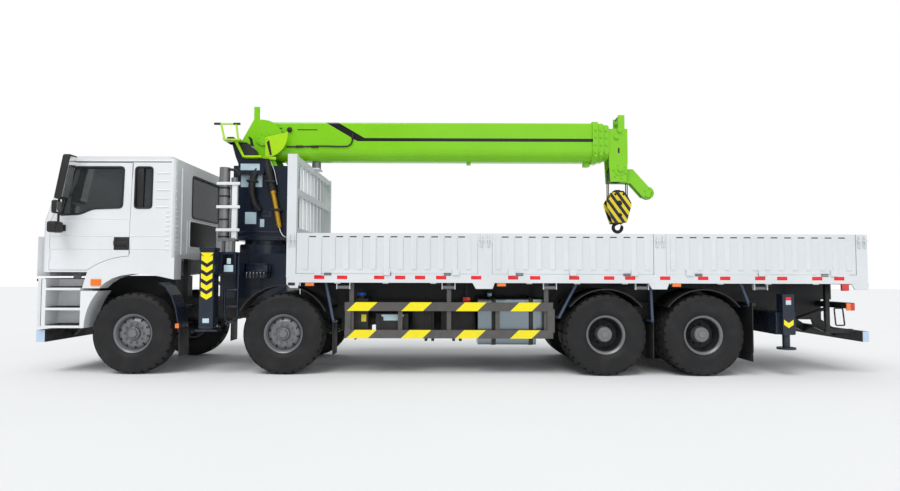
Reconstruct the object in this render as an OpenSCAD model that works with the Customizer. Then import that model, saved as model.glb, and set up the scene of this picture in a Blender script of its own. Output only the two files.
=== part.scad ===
// Truck-mounted crane: an 8x4 lorry with a telescopic boom behind the cab and a drop-side load bed.
// X runs rearwards, Y to the vehicle's right and Z up; the origin is on the ground under the middle.

/* [Vehicle] */
// Length from the front panel to the rear guard bar
overall_length = 11700; // [11600:10:11900]
// Front panel to first steered axle
front_overhang = 1435; // [1425:5:1450]
// First to second steered axle
axle_gap_12 = 2085; // [2080:5:2120]
// First to second driven axle
axle_gap_34 = 1350; // [1300:5:1400]
// Second driven axle to the rear guard bar
rear_overhang = 2365; // [2330:5:2400]

/* [Wheels] */
// Outer diameter of a tyre
tyre_d = 1125; // [1084:1:1130]
// Width of a tyre's section
tyre_w = 315; // [295:1:320]
// Middle of a steered tyre from the centre plane
steer_track = 1023; // [1015:1:1030]
// Middle of a twin pair from the centre plane
twin_track = 918; // [910:1:925]
// Distance between the two tyres of a twin pair
twin_gap = 350; // [345:1:360]

/* [Frame] */
// Width over the frame rails
frame_w = 860; // [820:5:880]
// Height of a frame rail
rail_h = 300; // [260:5:320]
// Top of the frame rails above the ground
frame_top_z = 1030; // [1020:5:1040]

/* [Cab] */
// Length of the cab's body shell
cab_length = 1853; // [1820:1:1870]
// Width of the cab's body shell
cab_w = 2440; // [2400:5:2460]
// Underside of the cab at the doors
cab_floor_z = 1410; // [1400:5:1420]
// Top of the cab's roof
cab_roof_z = 3040; // [3000:5:3050]
// Thickness of the cab's walls and doors
cab_wall = 70; // [50:1:80]

/* [Load bed] */
// Front panel to the headboard
bed_setback = 3580; // [3560:5:3620]
// Width over the drop sides
bed_w = 2540; // [2500:5:2550]
// Top of the load floor
floor_z = 1390; // [1375:5:1410]
// Height of the drop sides above the floor
gate_h = 564; // [500:2:600]
// Height of the headboard above the floor
headboard_h = 1667; // [1600:1:1670]

/* [Crane] */
// Slew axis to the headboard
slew_to_bed = 624; // [615:1:640]
// Boom foot pin above the ground
boom_pin_z = 3480; // [3475:1:3490]
// Height of the boom's base section
boom_h = 597; // [570:1:610]
// Width of the boom's base section
boom_w = 420; // [400:2:430]
// Foot pin to the front end of the base section
boom_reach = 5116; // [5000:2:5160]
// Outrigger jack's outer tube
jack_w = 195; // [180:1:200]

/* [Hidden] */
$fn = 64;

// Colours
white_paint = "whitesmoke";
green_paint = [0.49, 0.92, 0.04];
navy_paint = [0.06, 0.09, 0.16];
dark_steel = [0.10, 0.10, 0.11];
guard_grey = [0.35, 0.35, 0.35];
rubber_black = [0.05, 0.05, 0.05];
alloy = [0.72, 0.75, 0.78];

// Fits shared by all pieces
cut = 5; // cuts run past the face by this much
seat = 0.3; // pieces of two bodies, or seated pieces, stay this far apart
gap = 6; // moving panels clear their frame by this much
pin_gap = 0.5; // a pin clears its bore by this much
plate_t = 20; // heavy bracket plate

// Stations along the vehicle
front_x = -overall_length / 2;
rear_x = overall_length / 2;
axle_1_x = front_x + front_overhang;
axle_2_x = axle_1_x + axle_gap_12;
axle_4_x = rear_x - rear_overhang;
axle_3_x = axle_4_x - axle_gap_34;
hub_z = tyre_d / 2;
rear_bar_reach = 105; // rear guard bar behind the bed
bed_x1 = rear_x - rear_bar_reach;
bed_x0 = front_x + bed_setback;
bed_length = bed_x1 - bed_x0;
slew_x = bed_x0 - slew_to_bed;
boom_drop = 313; // boom's underside below its foot pin
boom_low_z = boom_pin_z - boom_drop;

// Shape helpers
function arc(c, r, a0, a1, n = 6) =
  [for (i = [0 : n]) let (a = a0 + (a1 - a0) * i / n) [c[0] + r * cos(a), c[1] + r * sin(a)]];
function round_rect(x0, y0, x1, y1, r, n = 5) = concat(
  arc([x1 - r, y1 - r], r, 0, 90, n), arc([x0 + r, y1 - r], r, 90, 180, n),
  arc([x0 + r, y0 + r], r, 180, 270, n), arc([x1 - r, y0 + r], r, 270, 360, n));
module box(lo, hi) { translate(lo) cube(hi - lo); }
module on_left() { mirror([0, 1, 0]) children(); }
module pair() { children(); on_left() children(); }
module side_plate(points, y0, y1) { translate([0, y1, 0]) rotate([90, 0, 0])
    linear_extrude(y1 - y0) polygon(points); }
module section_x(points, x0, x1) { translate([x0, 0, 0]) rotate([90, 0, 90])
    linear_extrude(x1 - x0) polygon(points); }
module plan_plate(points, z0, z1) { translate([0, 0, z0]) linear_extrude(z1 - z0) polygon(points); }
module cyl_x(y, z, r, x0, x1) { translate([x0, y, z]) rotate([0, 90, 0]) cylinder(r = r, h = x1 - x0); }
module cyl_y(x, z, r, y0, y1) { translate([x, y1, z]) rotate([90, 0, 0]) cylinder(r = r, h = y1 - y0); }
module cyl_z(x, y, r, z0, z1) { translate([x, y, z0]) cylinder(r = r, h = z1 - z0); }
module tube_y(x, z, r_out, r_in, y0, y1) {
  difference() {
    cyl_y(x, z, r_out, y0, y1);
    cyl_y(x, z, r_in, y0 - cut, y1 + cut);
  }
}
module rod(p, q, r) {
  d = q - p;
  translate(p) rotate([0, acos(d[2] / norm(d)), atan2(d[1], d[0])]) cylinder(r = r, h = norm(d));
}

// Chassis frame: two channel rails and their crossmembers
rail_flange = 80;
rail_t = 10;
frame_setback = 270; // rails begin behind the front panel
frame_tail = 160; // rails end ahead of the bed's rear
cross_size = [120, 130]; // along X and Z
cross_drop = 40; // crossmember below the rail's top
frame_x0 = front_x + frame_setback;
frame_x1 = bed_x1 - frame_tail;
rail_y = frame_w / 2;
rail_low_z = frame_top_z - rail_h;
cross_axle_gap = 450; // crossmembers stand this far from their axle
cross_places = [
  frame_x0 + cross_size[0], axle_2_x - cross_axle_gap, axle_2_x + cross_axle_gap,
  (axle_2_x + axle_3_x) / 2, axle_3_x - cross_axle_gap * 2, (axle_3_x + axle_4_x) / 2,
  axle_4_x + cross_axle_gap * 2, frame_x1 - cross_size[0]
];
tilt_setback = 100; // cab tilt pin behind the front panel
tilt_x = front_x + tilt_setback;
tilt_z = 1150;
tilt_notch = 160; // bumper's notch below the tilt pin
tilt_pin_r = 25;
tilt_boss_r = 42;
tilt_y = [370, 410]; // cab arm between the frame's plates
tilt_plate_t = 25;
cab_post = [150, 70]; // rear cab post: middle ahead of the cab's rear, and its length
module tilt_bracket(y0) {
  side_plate(concat(arc([tilt_x, tilt_z], tilt_boss_r, 60, 230, 8),
    [[frame_x0, frame_top_z - rail_h / 2], [frame_x0 + rail_flange, frame_top_z - rail_t],
      [frame_x0, frame_top_z]]), y0, y0 + tilt_plate_t);
}
module chassis_frame() {
  color(dark_steel) union() {
    pair() {
      tilt_bracket(tilt_y[0] - gap - tilt_plate_t);
      tilt_bracket(tilt_y[1] + gap);
      cyl_y(tilt_x, tilt_z, tilt_pin_r, tilt_y[0] - gap - tilt_plate_t,
        tilt_y[1] + gap + tilt_plate_t);
      box([cab_x1 - cab_post[0] - cab_post[1] / 2, rail_y - rail_flange, frame_top_z - rail_t],
        [cab_x1 - cab_post[0] + cab_post[1] / 2, rail_y, sleeper_z - seat]);
    }
    pair() difference() {
      box([frame_x0, rail_y - rail_flange, rail_low_z], [frame_x1, rail_y, frame_top_z]);
      box([frame_x0 - cut, rail_y - rail_flange - cut, rail_low_z + rail_t],
        [frame_x1 + cut, rail_y - rail_t, frame_top_z - rail_t]);
    }
    for (x = cross_places)
      box([x - cross_size[0] / 2, -rail_y + rail_t / 2, frame_top_z - cross_drop - cross_size[1]],
        [x + cross_size[0] / 2, rail_y - rail_t / 2, frame_top_z - cross_drop]);
  }
}

// Driveline: engine and gearbox as plain masses, and the propeller shafts
engine_size = [1150, 640, 620];
engine_setback = 500; // engine behind the front panel
engine_low_z = 740;
gearbox_size = [850, 480, 300];
shaft_r = 60;
shaft_z = 780;
diff_r = 210;
diff_nose = 330; // diff flange ahead of its axle
flange_r = 75;
diff_neck_r = 115;
flange_t = 30;
engine_x = front_x + engine_setback;
gearbox_x = engine_x + engine_size[0];
shaft_start_x = gearbox_x + gearbox_size[0];
shaft_mid_x = (axle_2_x + axle_3_x) / 2;
diff_z = hub_z + shaft_r;
module driveline() {
  color(dark_steel) {
    union() {
      box([engine_x, -engine_size[1] / 2, engine_low_z],
        [gearbox_x, engine_size[1] / 2, engine_low_z + engine_size[2]]);
      box([gearbox_x, -gearbox_size[1] / 2, engine_low_z - shaft_r],
        [shaft_start_x, gearbox_size[1] / 2, engine_low_z - shaft_r + gearbox_size[2]]);
      box([engine_x + engine_size[0] / 2 - bracket, -rail_y + rail_t + seat, rail_low_z + rail_h / 2],
        [engine_x + engine_size[0] / 2 + bracket, rail_y - rail_t - seat,
          rail_low_z + rail_h / 2 + bracket]);
      cyl_x(0, diff_z, flange_r, axle_3_x - diff_nose - flange_t - seat, axle_3_x - diff_nose - seat);
      cyl_x(0, shaft_z, shaft_r, shaft_start_x - cut, shaft_mid_x);
      cyl_x(0, shaft_z, flange_r, shaft_mid_x - flange_t, shaft_mid_x + flange_t);
      rod([shaft_mid_x, 0, shaft_z], [axle_3_x - diff_nose - flange_t, 0, diff_z], shaft_r);
    }
    cyl_x(0, diff_z, shaft_r, axle_3_x + diff_r + flange_t + seat, axle_4_x - diff_nose - seat);
  }
}

// Axles: two dropped front beams with kingpin eyes, two driven housings with differentials
king_y = 860;
kingpin_r = 30;
eye_r = 65;
eye_half_h = 75;
beam_w = 100;
beam_h = 110;
beam_drop = 140; // middle of the beam below the hubs
beam_flat_share = 0.62; // share of the kingpin distance where the beam runs low
beam_rise_share = 0.82; // share of it where the beam is back at hub height
housing_r = 80;
spindle_r = 50;
housing_end_y = 575;
spindle_end_y = 1010;
module front_beam(x) {
  flat_y = king_y * beam_flat_share;
  rise_y = king_y * beam_rise_share;
  half = beam_h / 2;
  low = hub_z - beam_drop;
  difference() {
    union() {
      section_x([
        [-king_y, hub_z - half], [-rise_y, hub_z - half], [-flat_y, low - half], [flat_y, low - half],
        [rise_y, hub_z - half], [king_y, hub_z - half], [king_y, hub_z + half],
          [rise_y, hub_z + half],
        [flat_y, low + half], [-flat_y, low + half], [-rise_y, hub_z + half], [-king_y, hub_z + half]
      ], x - beam_w / 2, x + beam_w / 2);
      pair() cyl_z(x, king_y, eye_r, hub_z - eye_half_h, hub_z + eye_half_h);
    }
    pair() cyl_z(x, king_y, kingpin_r + pin_gap, hub_z - eye_half_h - cut, hub_z + eye_half_h + cut);
  }
}
module rear_housing(x) {
  union() {
    cyl_y(x, hub_z, housing_r, -housing_end_y, housing_end_y);
    cyl_y(x, hub_z, spindle_r, -spindle_end_y, spindle_end_y);
    translate([x, 0, hub_z]) sphere(r = diff_r);
    cyl_x(0, diff_z, diff_neck_r, x - diff_nose + flange_t, x);
    cyl_x(0, diff_z, flange_r, x - diff_nose, x - diff_nose + flange_t);
    cyl_x(0, diff_z, flange_r, x, x + diff_r + flange_t);
  }
}
module axles() {
  color(dark_steel) {
    for (x = [axle_1_x, axle_2_x]) front_beam(x);
    for (x = [axle_3_x, axle_4_x]) rear_housing(x);
  }
}

// Springs: stepped leaf packs, their hangers, and the rear bogie's trunnion
leaf_w = 90;
leaf_t = 22;
leaf_count = 4;
leaf_half = 780; // half length of the main leaf
leaf_step_share = 0.17; // each lower leaf is shorter by this share of the main one
front_leaf_y = 385;
front_leaf_z = hub_z - beam_drop + beam_h / 2 + seat;
hanger_t = 60;
rear_leaf_w = 100;
leaf_stand_share = 0.7; // rear pack's middle off the rail, in leaf widths
rear_leaf_y = rail_y + rear_leaf_w * leaf_stand_share;
rear_leaf_t = 30;
rear_leaf_count = 6;
rear_leaf_half = axle_gap_34 / 2 + rear_leaf_w;
rear_leaf_z = hub_z + housing_r + seat;
trunnion_r = 75;
module leaf_pack(x, y, z, half, w, t, count) {
  for (i = [0 : count - 1]) {
    reach = half * (1 - leaf_step_share * (count - 1 - i));
    box([x - reach, y - w / 2, z + i * t], [x + reach, y + w / 2, z + (i + 1) * t + seat]);
  }
}
module front_spring(x) {
  top = front_leaf_z + leaf_count * leaf_t;
  union() {
    leaf_pack(x, front_leaf_y, front_leaf_z, leaf_half, leaf_w, leaf_t, leaf_count);
    for (e = [-1, 1])
      box([x + e * (leaf_half - hanger_t) - hanger_t / 2, front_leaf_y - leaf_w / 2, top - leaf_t],
        [x + e * (leaf_half - hanger_t) + hanger_t / 2, front_leaf_y + leaf_w / 2, rail_low_z - seat]);
  }
}
module rear_spring() {
  mid = (axle_3_x + axle_4_x) / 2;
  top = rear_leaf_z + rear_leaf_count * rear_leaf_t;
  union() {
    leaf_pack(mid, rear_leaf_y, rear_leaf_z, rear_leaf_half, rear_leaf_w, rear_leaf_t, rear_leaf_count);
    box([mid - trunnion_r * 2, rail_y + seat, top - leaf_t],
      [mid + trunnion_r * 2, rear_leaf_y + rear_leaf_w / 2, frame_top_z - cross_drop]);
    cyl_y(mid, hub_z - housing_r, trunnion_r, rear_leaf_y - rear_leaf_w / 2, rear_leaf_y + rear_leaf_w / 2);
    box([mid - trunnion_r, rear_leaf_y - rear_leaf_w / 2, hub_z - housing_r],
      [mid + trunnion_r, rear_leaf_y + rear_leaf_w / 2, rear_leaf_z + leaf_t]);
  }
}
module springs() {
  color(dark_steel) pair() {
    for (x = [axle_1_x, axle_2_x]) front_spring(x);
    rear_spring();
  }
}

// Front bumper with the step wells behind it
function bow(x, depth, half, n = 8) = [for (i = [-n : n]) [x + depth * pow(i / n, 2), half * i / n]];
bumper_setback = 20;
bumper_bow = 87;
bumper_half = 1150;
bumper_depth = 180;
bumper_low_z = 640;
bumper_top_z = 1325;
bumper_skin = 40;
lamp_slot = [[720, 905], [1050, 1115]]; // inner-low and outer-high corners, along Y and Z
well_x0 = front_x + bumper_setback + bumper_depth + gap;
well_lead = 641; // rear edge ahead of the first axle
well_x1 = axle_1_x - well_lead;
well_arch_r = 790;
well_tip_z = 1150;
well_top_z = 1310;
well_y0 = 870;
well_y1 = 1220;
well_wall = 55;
tread_zs = [640, 884, 1159]; // undersides of the treads
tread_t = 34;
tread_depth_y = 930; // back wall of the pockets
bracket = 40;
bumper_x = front_x + bumper_setback;
bumper_x1 = bumper_x + bumper_depth;
bracket_y = rail_y - rail_flange / 2;
module step_well() {
  difference() {
    side_plate(concat([[well_x0, bumper_low_z]], arc([well_x1 + well_arch_r, bumper_low_z], well_arch_r,
      180, 180 - asin((well_tip_z - bumper_low_z) / well_arch_r)),
      [[well_x1 - well_wall - cut, well_tip_z], [well_x1 - well_wall - cut, well_top_z],
      [well_x0, well_top_z]]), well_y0, well_y1);
    for (i = [0 : len(tread_zs) - 1])
      box([well_x0 + well_wall, tread_depth_y, tread_zs[i] + tread_t],
        [well_x1 - well_wall, well_y1 + cut,
        i + 1 < len(tread_zs) ? tread_zs[i + 1] : well_top_z + cut]);
  }
}
module front_bumper() {
  color(white_paint) {
    difference() {
      plan_plate(concat(bow(bumper_x, bumper_bow, bumper_half),
        [[bumper_x1, bumper_half], [bumper_x1, -bumper_half]]), bumper_low_z, bumper_top_z);
      box([bumper_x + bumper_bow + bumper_skin, -bumper_half + bumper_skin, bumper_low_z + bumper_skin],
        [bumper_x1 + cut, bumper_half - bumper_skin, bumper_top_z - bumper_skin]);
      pair() box([bumper_x - cut, lamp_slot[0][0], lamp_slot[0][1]],
        [bumper_x1, lamp_slot[1][0], lamp_slot[1][1]]);
      pair() box([tilt_x - tilt_boss_r - gap, tilt_y[0] - gap * 2 - tilt_plate_t,
        tilt_z - tilt_notch],
        [bumper_x1 + cut, tilt_y[1] + gap * 2 + tilt_plate_t, bumper_top_z + cut]);
      pair() box([bumper_x - cut, tilt_y[0] - gap, tilt_z],
        [bumper_x1 + cut, tilt_y[1] + gap, bumper_top_z + cut]);
    }
    pair() union() {
      step_well();
      box([well_x0, rail_y + seat, rail_low_z + rail_t],
        [well_x0 + bracket * 2, well_y0 + cut, rail_low_z + rail_t + bracket * 2]);
    }
    pair() box([bumper_x + bumper_bow + bumper_skin + seat, bracket_y - bracket, rail_low_z + rail_t],
      [frame_x0 - seat, bracket_y + bracket, frame_top_z - rail_h / 2 - gap]);
  }
}

// Guards: drop rails along both sides, the front and rear underrun bars, and the rear lamp beams
guard_start = 861; // side guard behind the second axle
guard_end = 728; // side guard ahead of the first driven axle
guard_y0 = 1190;
guard_y1 = 1220;
guard_low = [510, 624];
guard_high = [885, 1005];
upright_w = 60;
upright_count = 5;
bar_half_w = 1100;
front_bar_x = [72, 191]; // behind the front panel
front_bar_z = [435, 602];
rear_bar_x = 87; // depth of the rear bar
rear_bar_z = [463, 608];
lamp_beam_x = [240, 120]; // ahead of the bed's rear, and its depth
lamp_beam_z = [930, 1010];
lamp_beam_end_y = 1150;
guard_x0 = axle_2_x + guard_start;
guard_x1 = axle_3_x - guard_end;
arm_x = frame_x1 - rail_flange;
module side_guard() {
  union() {
    for (z = [guard_low, guard_high]) box([guard_x0, guard_y0, z[0]], [guard_x1, guard_y1, z[1]]);
    for (i = [0 : upright_count - 1]) {
      x = guard_x0 + upright_w + (guard_x1 - guard_x0 - upright_w * 3) * i / (upright_count - 1);
      top = i % 2 == 0 ? floor_z - floor_t - seat : guard_high[1];
      box([x, guard_y0 - upright_w, guard_low[0]], [x + upright_w, guard_y0 + cut, top]);
    }
  }
}
module guards() {
  color(guard_grey) pair() side_guard();
  color(dark_steel) {
    union() {
      box([front_x + front_bar_x[0], -bar_half_w, front_bar_z[0]],
        [front_x + front_bar_x[1], bar_half_w, front_bar_z[1]]);
      pair() side_plate([
        [front_x + front_bar_x[1] - cut, front_bar_z[0] + plate_t], [frame_x0 + bracket, front_bar_z[1]],
        [frame_x0 + bracket, rail_low_z - seat], [bumper_x1 + gap * 2, rail_low_z - seat],
        [bumper_x1 + gap * 2, front_bar_z[1]], [front_x + front_bar_x[1] - cut, front_bar_z[1]]
      ], bracket_y - bracket, bracket_y + bracket);
    }
    union() {
      box([rear_x - rear_bar_x, -bar_half_w, rear_bar_z[0]], [rear_x, bar_half_w, rear_bar_z[1]]);
      pair() side_plate([
        [rear_x - rear_bar_x + cut, rear_bar_z[0] + plate_t], [rear_x - rear_bar_x + cut, rear_bar_z[1]],
        [frame_x1, rail_low_z - seat], [arm_x - bracket, rail_low_z - seat], [arm_x, rear_bar_z[1]]
      ], bracket_y - bracket, bracket_y + bracket);
    }
    pair() box([bed_x1 - lamp_beam_x[0], rail_y + seat, lamp_beam_z[0]],
      [bed_x1 - lamp_beam_x[0] + lamp_beam_x[1], lamp_beam_end_y, lamp_beam_z[1]]);
  }
}

// Lamps: head lamps and tail lamps
head_lamp_depth = 70;
tail_lamp = [430, 54, 16]; // along Y, Z and X
tail_lamp_y = 660;
module lamps() {
  pair() {
    color("white") box([bumper_x + bumper_bow - seat, lamp_slot[0][0] + seat, lamp_slot[0][1] + seat],
      [bumper_x + bumper_bow + head_lamp_depth, lamp_slot[1][0] - seat, lamp_slot[1][1] - seat]);
    color("red") translate([bed_x1 - lamp_beam_x[0] + lamp_beam_x[1] + seat, tail_lamp_y,
      (lamp_beam_z[0] + lamp_beam_z[1] - tail_lamp[1]) / 2]) cube([tail_lamp[2], tail_lamp[0],
        tail_lamp[1]]);
  }
}

// Mudguards: bands round the wheels, and the rear flaps
guard_band = 14;
quarter_gap = 215; // rear quarter of the first axle clears the tyre top by this much
quarter_rear = 645; // its foot behind the axle
quarter_low_z = 606;
steer_guard_r = 665;
twin_guard_r = 622;
steer_guard_angles = [28, 152];
twin_guard_angles = [38, 142];
guard_in_y = 872;
guard_out_y = 1200;
flap_gap = 660; // flap behind the last axle
flap_t = 12;
flap_z = [330, 1010];
stay_r = 22;
stay_angle = 2.2; // stay's middle inside the band's end
twin_in_y = twin_track - (twin_gap + tyre_w) / 2 + plate_t;
twin_out_y = twin_track + (twin_gap + tyre_w) / 2;
module band(x, r, angles, y0, y1) {
  side_plate(concat(arc([x, hub_z], r + guard_band, angles[0], angles[1], 12),
    arc([x, hub_z], r, angles[1], angles[0], 12)), y0, y1);
}
module band_stays(x, r, angles, y1) {
  reach = r + guard_band + stay_r - cut;
  for (a = [angles[0] + stay_angle, angles[1] - stay_angle])
    cyl_y(x + reach * cos(a), hub_z + reach * sin(a), stay_r, rail_y + seat, y1 + cut);
}
quarter_start_share = 0.56; // where the quarter begins behind the axle
quarter_shares = [[0.00, 1.00], [0.30, 0.93], [0.62, 0.74], [0.84, 0.48], [0.96, 0.20], [1.00, 0.00]];
module mudguards() {
  quarter_x = axle_1_x + quarter_rear * quarter_start_share;
  quarter_run = quarter_rear * (1 - quarter_start_share);
  quarter_rise = tyre_d + quarter_gap - quarter_low_z - quarter_gap / 3;
  outer = [for (s = quarter_shares) [quarter_x + quarter_run * s[0] + guard_band,
    quarter_low_z + quarter_rise * s[1]]];
  inner = [for (i = [len(quarter_shares) - 1 : -1 : 0])
    [quarter_x + quarter_run * quarter_shares[i][0],
      quarter_low_z + quarter_rise * quarter_shares[i][1] - guard_band]];
  color(rubber_black) pair() {
    union() {
      side_plate(concat(outer, inner), guard_in_y, guard_out_y);
      cyl_y(quarter_x + quarter_run * quarter_shares[3][0],
        quarter_low_z + quarter_rise * quarter_shares[3][1], stay_r, rail_y + seat, guard_in_y + cut);
    }
    union() {
      band(axle_2_x, steer_guard_r, steer_guard_angles, guard_in_y, guard_out_y);
      band_stays(axle_2_x, steer_guard_r, steer_guard_angles, guard_in_y);
    }
    for (x = [axle_3_x, axle_4_x]) union() {
      band(x, twin_guard_r, twin_guard_angles, twin_in_y, twin_out_y);
      band_stays(x, twin_guard_r, twin_guard_angles, twin_in_y);
    }
    union() {
      box([axle_4_x + flap_gap, twin_in_y, flap_z[0]],
        [axle_4_x + flap_gap + flap_t, twin_out_y, flap_z[1]]);
      cyl_y(axle_4_x + flap_gap + flap_t + stay_r - cut, flap_z[1] - stay_r, stay_r,
        rail_y + seat, twin_out_y);
    }
  }
}

// Fuel tank on the left, with its brackets
tank_back = 946; // tank's rear end ahead of the first driven axle
box_lead = 950; // boxes begin behind the second axle
side_room = axle_3_x - axle_2_x - box_lead - tank_back;
tank_len_share = 0.3165; // lengths as shares of the room between the axles
additive_len_share = 0.0856;
battery_len_share = 0.1752;
box_gap_share = 0.0428;
air_len_share = 0.584;
tool_len_share = 0.3114;
tank_size = [side_room * tank_len_share, 540, 670];
tank_low_z = 407;
tank_y = 1100;
tank_round = 90;
tank_bracket_w = 60;
tank_cap_r = 55;
tank_cap_h = 45;
tank_x1 = axle_3_x - tank_back;
tank_x0 = tank_x1 - tank_size[0];
module fuel_tank() {
  color(alloy) union() {
    section_x(round_rect(-tank_y, tank_low_z, -tank_y + tank_size[1],
      tank_low_z + tank_size[2], tank_round), tank_x0, tank_x1);
    for (x = [tank_x0 + tank_bracket_w, tank_x1 - tank_bracket_w * 2])
      box([x, -tank_y + tank_size[1] - cut, rail_low_z + rail_t],
        [x + tank_bracket_w, -rail_y - seat, frame_top_z - rail_t]);
    cyl_z(tank_x0 + tank_bracket_w * 3, -tank_y + tank_size[1] / 2, tank_cap_r,
      tank_low_z + tank_size[2] - cut, tank_low_z + tank_size[2] + tank_cap_h);
  }
}

// Side boxes: additive tank and battery box on the left, air tanks and tool box on the right
additive = [side_room * additive_len_share, 480, 530];
battery = [side_room * battery_len_share, 460, 320];
box_gap = side_room * box_gap_share;
box_low_z = 520;
air_r = 130;
air_len = side_room * air_len_share;
air_z = 860;
box_y = 1100;
tool = [side_room * tool_len_share, 480, 460];
box_x0 = axle_2_x + box_lead;
module side_boxes() {
  battery_x = box_x0 + additive[0] + box_gap;
  arm_z = rail_low_z + rail_t;
  color(rubber_black) {
    union() {
      box([box_x0, -box_y, box_low_z],
        [box_x0 + additive[0], -box_y + additive[1], box_low_z + additive[2]]);
      box([box_x0 + plate_t, -box_y + additive[1] - cut, arm_z],
        [box_x0 + additive[0] - plate_t, -rail_y - seat, arm_z + plate_t * 4]);
      cyl_z(box_x0 + additive[0] / 2, -box_y + tank_cap_r * 2, tank_cap_r,
        box_low_z + additive[2] - cut, box_low_z + additive[2] + tank_cap_h);
    }
    union() {
      box([battery_x, -box_y, box_low_z],
        [battery_x + battery[0], -box_y + battery[1], box_low_z + battery[2]]);
      box([battery_x + plate_t, -box_y + battery[1] - cut, arm_z],
        [battery_x + battery[0] - plate_t, -rail_y - seat, arm_z + plate_t * 3]);
    }
    union() {
      cyl_x(rail_y + air_r * 2, air_z, air_r, box_x0, box_x0 + air_len);
      for (x = [box_x0 + air_r, box_x0 + air_len - air_r * 2])
        box([x, rail_y + seat, air_z - plate_t * 2], [x + air_r, rail_y + air_r * 2, air_z + plate_t * 2]);
    }
    union() {
      box([box_x0 + air_len + box_gap, box_y - tool[1], box_low_z],
        [box_x0 + air_len + box_gap + tool[0], box_y, box_low_z + tool[2]]);
      box([box_x0 + air_len + box_gap + plate_t, rail_y + seat, arm_z],
        [box_x0 + air_len + box_gap + tool[0] - plate_t, box_y - tool[1] + cut, arm_z + plate_t * 4]);
    }
  }
}

// Load bed: sills, bearers, floor, side rails and posts
sill_y = 380;
sill_w = 90;
bearer_low_z = 1262;
bearer_w = 80;
bearer_count = 13;
floor_t = 50;
rail_side_w = 60;
rail_side_low_z = 1275;
bed_half = bed_w / 2;
post_depth = 55;
post_1_share = 0.329; // posts along the bed's length
post_1_w = 193;
post_2_share = 0.632;
post_2_w = 166;
rear_post_w = 152;
post_low_z = 1195;
floor_lip = 4; // side rail above the floor
gate_gap = 10;
gate_low_z = floor_z + gate_gap;
gate_top_z = floor_z + gate_h + floor_lip;
post_xs = [
  [bed_x0 + bed_length * post_1_share, post_1_w], [bed_x0 + bed_length * post_2_share, post_2_w],
  [bed_x1 - rear_post_w, rear_post_w]
];
hb_depth = 130;
module bed_floor() {
  color(white_paint) union() {
    box([bed_x0 + hb_depth + seat, -bed_half, floor_z - floor_t], [bed_x1, bed_half, floor_z]);
    pair() {
      box([bed_x0, sill_y - sill_w / 2, frame_top_z + seat],
        [bed_x1, sill_y + sill_w / 2, bearer_low_z + cut]);
      box([bed_x0 + hb_depth + seat, bed_half - rail_side_w, rail_side_low_z],
        [bed_x1, bed_half, floor_z + floor_lip]);
      for (p = post_xs) box([p[0], bed_half - post_depth, post_low_z], [p[0] + p[1], bed_half, gate_top_z]);
    }
    for (i = [0 : bearer_count - 1]) {
      x = bed_x0 + (bed_length - bearer_w) * i / (bearer_count - 1);
      box([x, -bed_half + rail_side_w / 2, bearer_low_z],
        [x + bearer_w, bed_half - rail_side_w / 2, floor_z - floor_t + (i == 0 ? -seat : cut)]);
    }
    box([bed_x1 - rail_side_w, -bed_half, rail_side_low_z], [bed_x1, bed_half, floor_z]);
  }
}

// Headboard: corner posts, rails, bars and the boom rest
hb_post_w = 80;
hb_top_z = floor_z + headboard_h;
hb_panel_top_z = gate_top_z;
hb_rail_h = 90;
hb_bar_count = 9;
hb_bar_w = 40;
hb_panel_t = 50;
rest_r = 70;
rest_gap = 7; // boom above its rest
module headboard() {
  rest_x = bed_x0 + hb_depth;
  color(white_paint) union() {
    pair() box([bed_x0, bed_half - hb_post_w, floor_z - floor_t], [bed_x0 + hb_depth, bed_half, hb_top_z]);
    box([bed_x0, -bed_half, floor_z - floor_t], [bed_x0 + hb_depth, bed_half, floor_z]);
    box([bed_x0 + hb_panel_t, -bed_half, floor_z - cut],
      [bed_x0 + hb_panel_t * 2, bed_half, hb_panel_top_z]);
    for (z = [hb_panel_top_z - cut, (hb_panel_top_z + hb_top_z) / 2, hb_top_z - hb_rail_h])
      box([bed_x0 + hb_panel_t / 2, -bed_half + cut, z],
        [bed_x0 + hb_depth - hb_panel_t / 2, bed_half - cut, z + hb_rail_h]);
    for (i = [1 : hb_bar_count]) {
      y = -bed_half + bed_w * i / (hb_bar_count + 1);
      box([bed_x0 + hb_panel_t, y - hb_bar_w / 2, hb_panel_top_z],
        [bed_x0 + hb_panel_t + hb_bar_w, y + hb_bar_w / 2, hb_top_z - cut]);
    }
    box([bed_x0 + hb_panel_t, -rest_r * 2, hb_top_z - plate_t], [rest_x + rest_r, rest_r * 2, hb_top_z]);
    cyl_z(rest_x, 0, rest_r, hb_top_z - cut, boom_low_z - rest_gap);
  }
}

// Outrigger frames: the crane's base with two beam tunnels, and the rear outrigger box
base_run = [586, 414]; // base ahead of the slew axis and behind it
beam_inset = 113; // left beam's middle behind the base's front
beam_pitch = 220; // right beam's middle behind the left one's
house_tail = 110; // house behind the right beam's middle
base_x0 = slew_x - base_run[0];
base_x1 = slew_x + base_run[1];
beam_1_x = base_x0 + beam_inset;
beam_2_x = beam_1_x + beam_pitch;
tunnel_w = 164;
beam_low_z = 1430;
outrigger_h = 230;
house_low_z = 1390;
house_top_z = 1700;
house_half = 1045;
house_x1 = beam_2_x + house_tail;
ring_r = 420;
spigot_r = 120;
ring_top_z = 1838;
pedestal_half = 420;
rear_box_lead = 1026; // rear outrigger behind the last axle
rear_box_w = 274;
rear_box_z = [571, 877];
rear_jack_w = 160;
rear_jack_top_z = 1129;
jack_outer_y = 1250;
rear_leg_r = 50;
rear_box_x = axle_4_x + rear_box_lead;
rear_jack_x = rear_box_x + rear_box_w / 2;
rear_jack_y = jack_outer_y - rear_jack_w / 2;
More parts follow.
